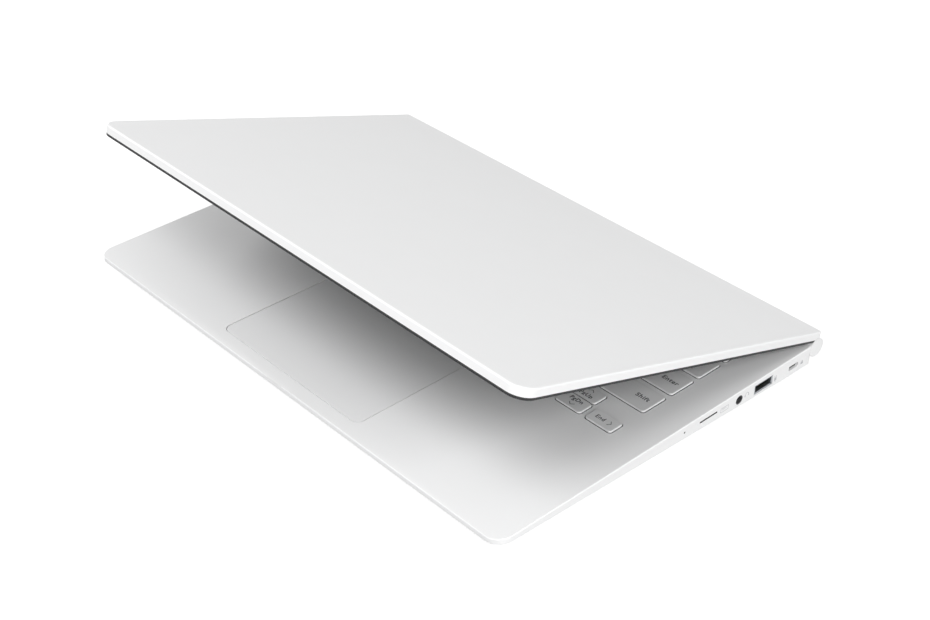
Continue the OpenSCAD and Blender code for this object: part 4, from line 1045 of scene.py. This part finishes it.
@dataclass
class Keyboard:
    """The keycaps, each with its legend.

    Attributes:
        corner: radius of a cap's corners.
        corner_steps: number of steps in a corner.
        edge: bevel round a cap's top.
        edge_steps: number of steps in that bevel.
        edge_round: how full that bevel is, where 0.5 is round.
        smooth: the angle in degrees over which an edge of a cap stays sharp.
        same: how many decimals of a metre make two caps one size.
        ease: how much narrower than its node a cap is on each side.
        dish: depth of the shallow dish in its top.
        dish_in: distance from the edge to the dish.
        tall: height of a cap.
        roof: thickness of a cap's top.
        hollow: thickness of a cap's skirt.
        guide_in: distance from a cap's side to its guide.
        guide_wall: width of the guide's frame.
        guide_edge: width of the soft edges on the guide and the plunger.
        sunk: how far a guide and a plunger are sunk into the cap.
        plunger: radius of the plunger that presses the dome.
        plunger_low: distance from a cap's top to the plunger's end.
        word: height of a capital in a word.
        letter: height of a capital that stands alone.
        spread: how wide the letters of a word are drawn.
        home: width of the part of a wide key that carries its word.
        line: distance between two lines of legends.
        raised: how far a single sign is over the middle, in lines.
        small: height of the word beside an arrow, as a share of a word's.
        chevron: length of a chevron's strokes.
        stroke: width of a chevron's strokes.
        slant: how far a chevron's strokes fall from level, in degrees.
        rows: the legends of each node's keys, from left to right.
        arrows: an arrow's turn, and the places of the arrow and its word, in lines.
        models: the keycap of each size, made once.
    """

    corner: float = 1.4 * MM
    corner_steps: int = 5
    edge: float = 0.5 * MM
    edge_steps: int = 3
    edge_round: float = 0.6
    smooth: float = 35.0
    same: int = 5
    ease: float = 0.1 * MM
    dish: float = 0.05 * MM
    dish_in: float = 0.9 * MM
    tall: float = 0.86 * MM
    roof: float = 0.5 * MM
    hollow: float = 0.8 * MM
    guide_in: float = 0.2 * MM
    guide_wall: float = 0.7 * MM
    guide_edge: float = 0.1 * MM
    sunk: float = 0.01 * MM
    plunger: float = 1.9 * MM
    plunger_low: float = 1.15 * MM
    word: float = 2.5 * MM
    letter: float = 2.7 * MM
    spread: float = 1.08
    home: float = 15.4 * MM
    line: float = 3.4 * MM
    raised: float = 0.4
    small: float = 0.92
    chevron: float = 2.1 * MM
    stroke: float = 0.32 * MM
    slant: float = 40.0
    rows: Mapping[str, str] = field(
        default_factory=lambda: {
            "function_keys": "Esc F1 F2 F3 F4 F5 F6 F7 F8 F9 F10 F11 F12 Del",
            "number_keys": "~/` !/1 @/2 #/3 $/4 %/5 ^/6 &/7 */8 (/9 )/0 _/- +/=",
            "backspace_key": "Back",
            "upper_letter_keys": "Tab Q W E R T Y U I O P {/[ }/]",
            "backslash_key": "|/\\",
            "home_letter_keys": "Caps A S D F G H J K L :/; \"/'",
            "enter_key": "Enter",
            "lower_letter_keys": "Shift Z X C V B N M </, >/. ?//",
            "right_shift_key": "Shift",
            "modifier_keys": "Ctrl Fn Menu Alt Alt Ctrl",
            "space_bar": "",
            "left_arrow_key": "Home<",
            "up_arrow_key": "PgUp^",
            "down_arrow_key": "PgDnv",
            "right_arrow_key": "End>",
        }
    )
    arrows: Mapping[str, tuple[float, Point, Point]] = field(
        default_factory=lambda: {
            "^": (0, (0, 0.6, 0), (0, -0.55, 0)),
            "v": (180, (0, -0.6, 0), (0, 0.5, 0)),
            ">": (-90, (1.0, 0, 0), (-0.7, 0, 0)),
            "<": (90, (-1.2, 0, 0), (0.6, 0, 0)),
        }
    )
    models: dict[tuple[float, float], Thing] = field(default_factory=dict)

    def _cap(self, low: Vector, high: Vector) -> Thing:
        """A keycap in the top of a box: hollow below, bevelled round its top, a little dished.

        Args:
            low: the box's lowest corner.
            high: the box's highest corner.

        Returns:
            The cap.
        """
        low = Vector((low.x + self.ease, low.y + self.ease, high.z - self.tall))
        size = high - low - Vector((self.ease, self.ease, 0))
        middle = low + size / 2
        key = (round(size.x, self.same), round(size.y, self.same))
        if key not in self.models:
            cap = Bench.block("cap_model", -size / 2, size / 2)
            Bench.pick_edges(cap, lambda a, b: abs(a.z - b.z) > size.z / 2)
            bpy.ops.mesh.bevel(offset=self.corner, segments=self.corner_steps)
            Bench.pick_faces(cap, lambda f: f.normal.z > FACING)
            bpy.ops.mesh.bevel(
                offset=self.edge, segments=self.edge_steps, profile=self.edge_round
            )
            big = size.x * size.y / 2
            Bench.pick_faces(cap, lambda f: f.normal.z > FACING and f.area > big)
            bpy.ops.mesh.inset(thickness=self.dish_in)
            bpy.ops.transform.translate(value=(0, 0, -self.dish))
            Bench.pick_faces(cap, lambda f: f.normal.z < -FACING and f.area > big)
            bpy.ops.mesh.inset(thickness=self.hollow)
            bpy.ops.mesh.extrude_region_move(
                TRANSFORM_OT_translate={"value": (0, 0, self.tall - self.roof)}
            )
            self.models[key] = Bench.evened(cap, self.smooth)
        return Bench.copy(self.models[key], "cap", middle)

    def _guide(self, low: Vector, high: Vector) -> Thing:
        """The dark guide below a cap: an open frame with soft edges, and a plunger. Its near-black
        finish is partly the guide's own colour and partly painted shade for the gap round the cap.

        Args:
            low: the key's lowest corner.
            high: the key's highest corner.

        Returns:
            The guide.
        """
        margin = Vector((self.guide_in, self.guide_in, 0))
        top = Vector((high.x, high.y, high.z - self.tall + self.sunk)) - margin
        frame = Bench.block("guide", low + margin, top)
        Bench.pick_faces(frame, lambda f: abs(f.normal.z) > FACING)
        bpy.ops.mesh.inset(thickness=self.guide_wall)
        bpy.ops.mesh.bridge_edge_loops()
        foot = (low + high) / 2
        foot.z = high.z - self.plunger_low
        tall = self.plunger_low - self.roof + 2 * self.sunk
        rod = Bench.rod("plunger", foot, self.plunger, tall, Axis.Z)
        parts = [Bench.bevelled(part, self.guide_edge) for part in (frame, rod)]
        return Bench.join(parts, "guide")

    def build(self) -> None:
        """Makes each node's keycaps, guides and legends."""
        for node, words in self.rows.items():
            boxes = Frame.solids(node)
            stem, body = node.replace("_keys", "").replace("_key", ""), node + "_body"
            caps = Bench.join([self._cap(*box) for box in boxes], stem + "_caps")
            Frame.fit(caps, Finishes.KEY, body, "keycap", node)
            # The guides' near-black finish also paints the shade that falls in the gap round each
            # cap.
            guides = Bench.join([self._guide(*box) for box in boxes], stem + "_guides")
            Frame.fit(guides, Finishes.DULL, body, "keycap", node)
            legends = self._legends(words.split(), boxes)
            if legends:
                ink = Bench.join(legends, stem + "_legends")
                Frame.fit(ink, Finishes.INK, body, "keycap")
        for model in self.models.values():
            bpy.data.objects.remove(model)

    def _legends(self, words: Sequence[str], boxes: Sequence[Box]) -> list[Thing]:
        """The legends of one node's keys, just over the dishes of their tops.

        Args:
            words: the legend of each key; a slash parts an upper sign from a lower one, and
                a word that ends in a sign of arrows has that arrow beside it.
            boxes: each key's box.

        Returns:
            The legends as flat meshes.
        """
        made = []
        for word, (low, high) in zip(words, boxes):
            top = high.z - self.dish + PRINT
            half = min(high.x - low.x, self.home) / 2
            x = high.x - half if low.x > 0 else low.x + half
            y = (low.y + high.y) / 2
            line = self.line
            if len(word) == 1:
                made.append(Bench.text(word, self.letter, (x, y + self.raised * line, top)))
            elif len(word) == 3 and word[1] == "/":
                made.append(Bench.text(word[0], self.word, (x, y + line, top)))
                made.append(Bench.text(word[2], self.word, (x, y - line, top)))
            elif word[-1] in self.arrows:
                turn, arrow, label = self.arrows[word[-1]]
                at = Vector((x, y, top))
                made.append(self._sign(at + line * Vector(arrow), turn))
                size = self.small * self.word
                made.append(Bench.text(word[:-1], size, at + line * Vector(label), 1.0))
            else:
                made.append(Bench.text(word, self.word, (x, y, top), self.spread))
        return made

    def _sign(self, at: Point, turn: float) -> Thing:
        """A flat chevron, as on an arrow key.

        Args:
            at: its middle.
            turn: how it is turned from pointing away from the typist, in degrees.

        Returns:
            The chevron.
        """
        half = self.stroke / 2
        bar = Bench.plate("stroke", (-self.chevron, -half, 0), (half, half, 0))
        other = Bench.copy(bar, "stroke", (0, 0, 0))
        bar.data.transform(Matrix.Rotation(math.radians(self.slant), 4, "Z"))
        other.data.transform(Matrix.Rotation(math.radians(180 - self.slant), 4, "Z"))
        sign = Bench.join([bar, other], "chevron")
        lift = Matrix.Translation((0, self.chevron / 3, 0))
        sign.data.transform(
            Matrix.Translation(Vector(at)) @ Matrix.Rotation(math.radians(turn), 4, "Z") @ lift
        )
        return sign


@dataclass
class Deck:
    """The touchpad and the power button in the deck.

    Attributes:
        pad_edge: width of the touchpad's ground edge.
        button_edge: width of the button's soft edge.
        ring: radius of the ring on the button.
        line: width of the ring's line.
        stroke: width of the stroke through the ring's gap.
        stroke_from: distance from the ring's middle to the stroke.
        stroke_to: distance from the ring's middle to the stroke's end.
        over: how far the stroke lies over the ring.
        turns: how the ring's two halves are turned, in degrees.
    """

    pad_edge: float = 0.18 * MM
    button_edge: float = 0.2 * MM
    ring: float = 1.3 * MM
    line: float = 0.25 * MM
    stroke: float = 0.26 * MM
    stroke_from: float = 0.3 * MM
    stroke_to: float = 1.7 * MM
    over: float = 0.002 * MM
    turns: tuple[float, float] = (215, 145)

    def _sign(self) -> Thing:
        """The sign on the power button.

        Returns:
            A broken ring with a stroke, lying on the button.
        """
        low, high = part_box("power_button")
        at = Vector(((low.x + high.x) / 2, (low.y + high.y) / 2, high.z + PRINT))
        upper = Bench.arc("ring", at, self.ring, self.line)
        lower = Bench.copy(upper, "ring", (0, 0, 0))
        middle = Matrix.Translation(at)
        for half, turn in zip((upper, lower), self.turns):
            spin = Matrix.Rotation(math.radians(turn), 4, "Z")
            half.data.transform(middle @ spin @ middle.inverted())
        stroke = Bench.plate(
            "stroke",
            at + Vector((-self.stroke / 2, self.stroke_from, self.over)),
            at + Vector((self.stroke / 2, self.stroke_to, self.over)),
        )
        return Bench.join([upper, lower, stroke], "power_sign")

    def build(self) -> None:
        """Makes the touchpad and the power button with its sign."""
        Frame.cover("touchpad", "touchpad_glass", Finishes.PAD, "pad", self.pad_edge)
        Frame.cover("power_button", "power_key", Finishes.KEY, "keycap", self.button_edge)
        Frame.fit(self._sign(), Finishes.MARK, "power", "keycap")


@dataclass
class Screen:
    """The lid's inner side: the dark frame, the panel and the soft strip.

    Attributes:
        glass_edge: width of the panel's soft edge.
    """

    glass_edge: float = 0.1 * MM

    def build(self) -> None:
        """Makes the frame, the panel and the strip."""
        Frame.cover("display_bezel", "screen_frame", Finishes.BEZEL, "dark_plastic")
        Frame.cover("display_panel", "picture_panel", Finishes.SCREEN, "screen", self.glass_edge)
        Frame.cover("lid_gasket", "soft_strip", Finishes.RUBBER, "rubber")


@dataclass
class Sockets:
    """The metal-shelled sockets, with their tongues and contacts, and the black lining and plug that
    paint shade in the card slot and the reset hole.

    Attributes:
        wall: thickness of a metal shell.
        corner: radius of a shell's corners.
        corner_steps: number of steps in a corner.
        tongue: thickness of a tongue.
        tongue_edge: width of a tongue's soft edges.
        inset: how far a tongue stays behind the mouth.
        spring: how far a spring stands into the mouth.
        spring_edge: width of a spring's soft edges.
        spring_reach: distance from the mouth to a spring's two ends.
        spring_side: distance from a side spring to the shell's floor and roof.
        spring_starts: where the floor's springs begin, as shares of the shell's width.
        spring_wide: width of a floor spring, as a share of the shell's width.
        sunk: how far a spring is sunk into its wall, and a foot into its shell.
        foot: radius of a foot.
        pitch: distance between a wide socket's contacts.
        contacts: how many contacts a wide socket has.
        video_tall: height of the video socket's shell.
        video_pitch: distance between the video socket's contacts.
        video_contacts: how many contacts the video socket has.
        contact_back: distance from a tongue's ends to its contacts.
        contact_wide: width of a contact, as a share of the pitch.
        contact_deep: how deep a contact lies in its tongue.
        contact_proud: how far a contact stands out of its tongue.
        contact_edge: width of a contact's soft edges.
        casing: depth of the lining in the base's wall.
        back: how far a lining stays behind the side.
        sleeve: thickness of the card slot's black lining, which paints the slot's shade.
        card: width and height of the card slot's lining.
        pin: radius of the black plug in the reset hole, which paints the hole's shade.
        pin_step: distance from the card slot's middle to the reset hole.
    """

    wall: float = 0.35 * MM
    corner: float = 0.5 * MM
    corner_steps: int = 3
    tongue: float = 1.75 * MM
    tongue_edge: float = 0.2 * MM
    inset: float = 1.0 * MM
    spring: float = 0.45 * MM
    spring_edge: float = 0.15 * MM
    spring_reach: tuple[float, float] = (0.1 * MM, 2.2 * MM)
    spring_side: float = 0.8 * MM
    spring_starts: tuple[float, float] = (0.06, 0.51)
    spring_wide: float = 0.43
    sunk: float = 0.05 * MM
    foot: float = 1.0 * MM
    pitch: float = 2.5 * MM
    contacts: int = 4
    video_tall: float = 4.6 * MM
    video_pitch: float = 1.2 * MM
    video_contacts: int = 10
    contact_back: float = 2.0 * MM
    contact_wide: float = 0.4
    contact_deep: float = 0.05 * MM
    contact_proud: float = 0.06 * MM
    contact_edge: float = 0.03 * MM
    casing: float = 1.3 * MM
    back: float = 0.03 * MM
    sleeve: float = 0.06 * MM
    card: tuple[float, float] = (12.06 * MM, 0.86 * MM)
    pin: float = 0.48 * MM
    pin_step: float = 16.4 * MM

    def _springs(self, low: Vector, high: Vector, side: Side) -> list[Thing]:
        """The pressed springs inside a shell: one on each side wall and two on the floor.

        Args:
            low: the lowest corner of the shell.
            high: the highest corner of the shell.
            side: the side that it opens to.

        Returns:
            The springs.
        """
        mouth = high.x if side > 0 else low.x
        near, far = sorted(mouth - side * reach for reach in self.spring_reach)
        start, stop = self.wall - self.sunk, self.wall + self.spring
        bottom, top = low.z + self.spring_side, high.z - self.spring_side
        boxes = [
            ((near, low.y + start, bottom), (far, low.y + stop, top)),
            ((near, high.y - stop, bottom), (far, high.y - start, top)),
        ]
        width = high.y - low.y
        for share in self.spring_starts:
            y = low.y + share * width
            end = (far, y + self.spring_wide * width, low.z + stop)
            boxes.append(((near, y, low.z + start), end))
        return [Bench.soft("spring", *box, self.spring_edge) for box in boxes]

    def _shell(self, low: Vector, high: Vector, side: Side) -> Thing:
        """A folded metal shell, open at one end, with springs on the inside of its walls.

        Args:
            low: the lowest corner of its box.
            high: the highest corner of its box.
            side: the side that it opens to.

        Returns:
            The shell.
        """
        shell = Bench.block("shell", low, high)
        Bench.pick_edges(shell, lambda a, b: abs(a.x - b.x) > (high.x - low.x) / 2)
        bpy.ops.mesh.bevel(offset=self.corner, segments=self.corner_steps)
        Bench.pick_faces(shell, lambda f: f.normal.x * side > FACING)
        bpy.ops.mesh.inset(thickness=self.wall)
        depth = high.x - low.x - 2 * self.wall
        bpy.ops.mesh.extrude_region_move(TRANSFORM_OT_translate={"value": (-side * depth, 0, 0)})
        bpy.ops.object.mode_set(mode="OBJECT")
        return Bench.join([shell, *self._springs(low, high, side)], "shell")

    def _feet(self, node: str, low: Vector, high: Vector) -> list[Thing]:
        """The feet of a shell that stands over the bottom of its node's box.

        Args:
            node: its CAD node.
            low: the lowest corner of the shell.
            high: the highest corner of the shell.

        Returns:
            Two feet, or none where the shell lies low.
        """
        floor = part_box(node)[0].z
        if low.z <= floor:
            return []
        middle, third = (low + high) / 2, (high.y - low.y) / 3
        tall = low.z + 2 * self.sunk - floor
        return [
            Bench.rod("foot", (middle.x, y, floor), self.foot, tall, Axis.Z)
            for y in (middle.y - third, middle.y + third)
        ]

    def socket(
        self, node: str, stem: str, side: Side, low: Vector, contacts: int, pitch: float
    ) -> None:
        """A socket with contacts under its tongue.

        Args:
            node: its CAD node.
            stem: how its pieces' names begin.
            side: the side that it opens to.
            low: the lowest corner of its shell.
            contacts: how many contacts it has.
            pitch: the distance between them.
        """
        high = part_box(node)[1]
        parts = [self._shell(low, high, side), *self._feet(node, low, high)]
        shell = Bench.join(parts, stem + "_shell")
        Frame.fit(shell, Finishes.PLATED, "base", "socket_metal", node)
        gap = 2 * self.wall
        back, front = (low.x, high.x - self.inset) if side > 0 else (low.x + self.inset, high.x)
        top, under = high.z - gap, high.z - gap - self.tongue
        start = (back + self.wall / 2, low.y + gap, under)
        end = (front - self.wall / 2, high.y - gap, top)
        tongue = Bench.soft(stem + "_tongue", start, end, self.tongue_edge)
        Frame.fit(tongue, Finishes.DULL, "base", "black_plastic")
        strips = []
        for i in range(contacts):
            y = (low.y + high.y) / 2 + (i - (contacts - 1) / 2) * pitch
            half = self.contact_wide * pitch / 2
            start = (back + self.contact_back, y - half, under - self.contact_proud)
            end = (front - self.contact_back, y + half, under + self.contact_deep)
            strips.append(Bench.soft("strip", start, end, self.contact_edge))
        gold = Bench.join(strips, stem + "_contacts")
        Frame.fit(gold, Finishes.GOLD, "base", "socket_metal")

    def _slot_shade(self, slot: Vector) -> None:
        """A thin black sleeve in the card slot: painted shade on the slot's walls.

        Args:
            slot: the middle of the slot's mouth.
        """
        half = Vector((0, self.card[0] / 2, self.card[1] / 2))
        low, high = slot - half, slot + half
        low.x, high.x = slot.x - self.casing, slot.x - self.back
        sleeve = Bench.block("card_slot_shade", low, high)
        Bench.pick_faces(sleeve, lambda f: abs(f.normal.x) > FACING)
        bpy.ops.mesh.delete(type="FACE")
        Bench.modify(sleeve, "SOLIDIFY", thickness=self.sleeve, offset=-1)
        Frame.fit(Bench.done(sleeve), Finishes.DULL, "base", "black_plastic")

    def _hole_shade(self, slot: Vector) -> None:
        """A black plug that fills the reset hole up to just behind the side: painted shade for the
        hole.

        Args:
            slot: the middle of the card slot's mouth.
        """
        hole = slot - Vector((self.casing, self.pin_step, 0))
        pin = Bench.rod("reset_hole_shade", hole, self.pin, self.casing - self.back, Axis.X)
        Frame.fit(Bench.done(pin), Finishes.DULL, "base", "black_plastic")

    def build(self) -> None:
        """Makes the sockets, and the black lining in the card slot and the black plug in the reset
        hole that paint their shade.
        """
        for node, side in (("right_usb_socket", Side.RIGHT), ("left_usb_socket", Side.LEFT)):
            stem = node.replace("_socket", "")
            self.socket(node, stem, side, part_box(node)[0], self.contacts, self.pitch)
        low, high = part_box("video_socket")
        low.z = high.z - self.video_tall
        self.socket(
            "video_socket", "video", Side.LEFT, low, self.video_contacts, self.video_pitch
        )
        slot = Frame.mount("card_slot")
        self._slot_shade(slot)
        self._hole_shade(slot)


class Sign(Enum):
    """The plain drawings that are printed beside the openings.

    Each is a list of bars (x, y, width, height) and a list of half rings (x, y, radius, width),
    in millimetres round the drawing's middle.
    """

    CARD = (
        [(0, 0.9, 4.4, 0.2), (0, -0.9, 4.4, 0.2), (-2.1, 0, 0.2, 1.6), (2.1, 0, 0.2, 1.6)]
        + [(x, 0.25, 0.25, 0.7) for x in (-1.3, -0.6, 0.1, 0.8)],
        [],
    )
    HEADSET = (
        [(-1.0, -0.35, 0.45, 0.8), (1.0, -0.35, 0.45, 0.8)],
        [(0, 0, 1.1, 0.22)],
    )
    PLUG = (
        [(-0.4, 0.75, 0.3, 0.9), (0.4, 0.75, 0.3, 0.9)]
        + [(0, -0.35, 1.4, 1.3), (0, -1.4, 0.3, 0.8)],
        [],
    )
    PADLOCK = ([(0, -0.4, 1.5, 1.1)], [(0, 0.15, 0.6, 0.2)])
    DISPLAY = (
        [(0, 0.9, 2.4, 0.2), (0, -0.5, 2.4, 0.2), (-1.1, 0.2, 0.2, 1.2)]
        + [(1.1, 0.2, 0.2, 1.2), (0, -1.0, 1.2, 0.2)],
        [],
    )

    def draw(self) -> list[Thing]:
        """Draws the sign lying flat round the origin.

        Returns:
            Its parts.
        """
        bars, rings = self.value
        parts = [
            Bench.arc("bow", (x * MM, y * MM, 0), radius * MM, width * MM)
            for x, y, radius, width in rings
        ]
        for x, y, width, height in bars:
            low = ((x - width / 2) * MM, (y - height / 2) * MM, 0)
            high = ((x + width / 2) * MM, (y + height / 2) * MM, 0)
            parts.append(Bench.plate("bar", low, high))
        return parts


@dataclass(frozen=True)
class Mark:
    """One sign printed beside an opening.

    Attributes:
        name: the mark's name.
        node: the CAD node of the opening.
        sign: what is drawn.
        side: the side of the base.
        along: how far it is behind the node's middle.
        height: its height over the floor.
    """

    name: str
    node: str
    sign: Sign
    side: Side
    along: float
    height: float


@dataclass
class Marks:
    """The signs printed on the sides of the base.

    Attributes:
        proud: how far a mark stands out of the side.
        large: how much larger than drawn a mark is printed.
        marks: the signs and their places.
    """

    proud: float = 0.012 * MM
    large: float = 1.25
    marks: Sequence[Mark] = (
        Mark("card_mark", "card_reader", Sign.CARD, Side.RIGHT, 11.2 * MM, 7.0 * MM),
        Mark("headset_mark", "headphone_socket", Sign.HEADSET, Side.RIGHT, 5.4 * MM, 7.0 * MM),
        Mark("right_usb_mark", "right_usb_socket", Sign.PLUG, Side.RIGHT, 8.8 * MM, 5.8 * MM),
        Mark("lock_mark", "lock_bracket", Sign.PADLOCK, Side.RIGHT, 6.4 * MM, 5.6 * MM),
        Mark("left_usb_mark", "left_usb_socket", Sign.PLUG, Side.LEFT, -8.8 * MM, 5.8 * MM),
        Mark("video_mark", "video_socket", Sign.DISPLAY, Side.LEFT, -9.6 * MM, 6.4 * MM),
        Mark("power_mark", "power_inlet", Sign.PLUG, Side.LEFT, -5.2 * MM, 6.6 * MM),
    )

    def build(self) -> None:
        """Prints every mark."""
        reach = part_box("top_case")[1].x + self.proud
        for mark in self.marks:
            low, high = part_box(mark.node)
            made = Bench.join(mark.sign.draw(), mark.name)
            made.data.transform(Matrix.Diagonal((self.large, self.large, 1, 1)))
            facing = ((0, mark.side, 0), (0, 0, 1), (mark.side, 0, 0))
            turn = Matrix(facing).transposed().to_4x4()
            at = Vector((mark.side * reach, (low.y + high.y) / 2 + mark.along, mark.height))
            made.data.transform(Matrix.Translation(at) @ turn)
            Frame.fit(made, Finishes.MARK, "base", "casing")


# ------------------------------------------------------------------ floor, lights and camera


@dataclass(frozen=True)
class Lamp:
    """A soft light that faces the laptop.

    Attributes:
        name: its name.
        azimuth: its place round the laptop, in degrees from the front to the right.
        elevation: its height over the floor, in degrees.
        power: its power in watts.
        width: its width.
        height: its height.
        distance: its distance from the laptop.
    """

    name: str
    azimuth: float
    elevation: float
    power: float
    width: float = 1.0
    height: float = 0.7
    distance: float = 1.8

    def hang(self) -> None:
        """Hangs the light in its place."""
        at = self.distance * towards(self.azimuth, self.elevation)
        data = bpy.data.lights.new(self.name, "AREA")
        data.shape = "RECTANGLE"
        data.size, data.size_y = self.width, self.height
        data.energy = self.power
        made = bpy.data.objects.new(self.name, data)
        made.location = at
        made.rotation_euler = at.to_track_quat("Z", "Y").to_euler()
        bpy.context.scene.collection.objects.link(made)


@dataclass
class Studio:
    """The floor, the light and the camera.

    Attributes:
        azimuth: the camera's place round the laptop, in degrees from the front to the right.
        elevation: its height over the floor, in degrees.
        roll: its roll, in degrees.
        aim: the point in the middle of its view.
        distance: its distance from that point.
        lens: focal length for the sensor.
        sensor: the sensor's width, in millimetres.
        near: distance under which nothing is drawn.
        sky: strength of the sky's light.
        glow: strength of the floor's own white, which only the camera sees.
        paper: how pale the floor is.
        speckle: how much darker the floor's darkest grain is, as a share.
        speck: width of one grain of the floor.
        floor_rough: the floor's roughness.
        floor_wide: width of the floor.
        lamps: the soft lights.
    """

    azimuth: float = 47.712
    elevation: float = 34.349
    roll: float = -0.156
    aim: Point = (0.016877, -0.002661, 0.0113)
    distance: float = 0.8188
    lens: float = 64.04
    sensor: float = 36
    near: float = 10 * MM
    sky: float = 0.303
    glow: float = 0.84
    paper: float = 0.35
    speckle: float = 0.01
    speck: float = 2 * MM
    floor_rough: float = 0.9
    floor_wide: float = 8.0
    lamps: Sequence[Lamp] = (
        Lamp("left_softbox", -60, 35, 14.8),
        Lamp("high_softbox", 25, 60, 9.4),
        Lamp("corner_softbox", 55, 12, 11.2),
        Lamp("side_softbox", 90, 35, 12.4),
    )

    def camera(self) -> None:
        """Sets up the camera."""
        back = towards(self.azimuth, self.elevation)
        roll = math.radians(self.roll)
        right = (-back).cross(Vector((0, 0, 1))).normalized()
        up = right.cross(-back)
        right, up = (
            right * math.cos(roll) + up * math.sin(roll),
            up * math.cos(roll) - right * math.sin(roll),
        )
        data = bpy.data.cameras.new("camera")
        data.lens = self.lens
        data.sensor_width = self.sensor
        data.clip_start = self.near
        camera = bpy.data.objects.new("camera", data)
        turn = Matrix((right, up, back)).transposed().to_4x4()
        camera.matrix_world = Matrix.Translation(Vector(self.aim) + back * self.distance) @ turn
        bpy.context.scene.collection.objects.link(camera)
        bpy.context.scene.camera = camera

    @staticmethod
    def _seen(g: Graph) -> Sock:
        """What the camera sees, straight, in a reflection or through a clear surface.

        Args:
            g: the nodes of the world or of the floor's material.

        Returns:
            1 for what is seen, else 0.
        """
        camera = g.node("ShaderNodeLightPath", out="Is Camera Ray")
        glossy = g.node("ShaderNodeLightPath", out="Is Glossy Ray")
        through = g.node("ShaderNodeLightPath", out="Is Transmission Ray")
        return camera.greatest(glossy).greatest(through)

    def world(self) -> None:
        """Makes an even white sky that lights softly and is seen as plain white."""
        world = bpy.data.worlds.new("sky")
        bpy.context.scene.world = world
        world.use_nodes = True
        g = Graph(world.node_tree)
        strength = self.sky + (1 - self.sky) * self._seen(g)
        values = {"Color": (1, 1, 1, 1), "Strength": strength}
        sky = g.node("ShaderNodeBackground", {}, values)
        g.node("ShaderNodeOutputWorld", {}, {"Surface": sky})

    def floor(self) -> None:
        """Lays a wide pale floor that keeps the laptop's shadow."""
        Bench.clear()
        bpy.ops.mesh.primitive_plane_add(size=self.floor_wide, location=(0, 0, 0))
        floor = Bench.named("floor")
        made = bpy.data.materials.new("floor_paper")
        made.use_nodes = True
        g = Graph(made.node_tree)
        grain = g.noise(self.speck, 2)
        dark = self.paper * (1 - self.speckle)
        paper = g.node(
            "ShaderNodeBsdfPrincipled",
            {},
            {
                "Base Color": g.blend(grain, (self.paper,) * 3, (dark,) * 3),
                "Roughness": self.floor_rough,
                "Specular IOR Level": 0.0,
            },
        )
        unlit = g.node("ShaderNodeEmission", {}, {"Strength": 0.0})
        white = g.node("ShaderNodeEmission", {}, {"Strength": self.glow})
        own = g.node("ShaderNodeMixShader", {}, {0: self._seen(g), 1: unlit, 2: white})
        both = g.node("ShaderNodeAddShader", {}, {0: paper, 1: own})
        g.node("ShaderNodeOutputMaterial", {}, {"Surface": both})
        floor.data.materials.append(made)

    def build(self) -> None:
        """Sets up the camera, the sky, the floor and the lamps."""
        bpy.context.scene.view_settings.view_transform = "Standard"
        self.camera()
        self.world()
        self.floor()
        for lamp in self.lamps:
            lamp.hang()
            LOG.info("%s: %.1f W", lamp.name, lamp.power)


def main() -> None:
    """Builds the laptop's visible pieces in order."""
    logging.basicConfig(level=logging.INFO, format="%(message)s")
    Frame.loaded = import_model()
    Studio().build()
    Casework().build()
    Innards().dress()
    Deck().build()
    Keyboard().build()
    Sockets().build()
    Marks().build()
    Screen().build()


if __name__ == "__main__":
    main()
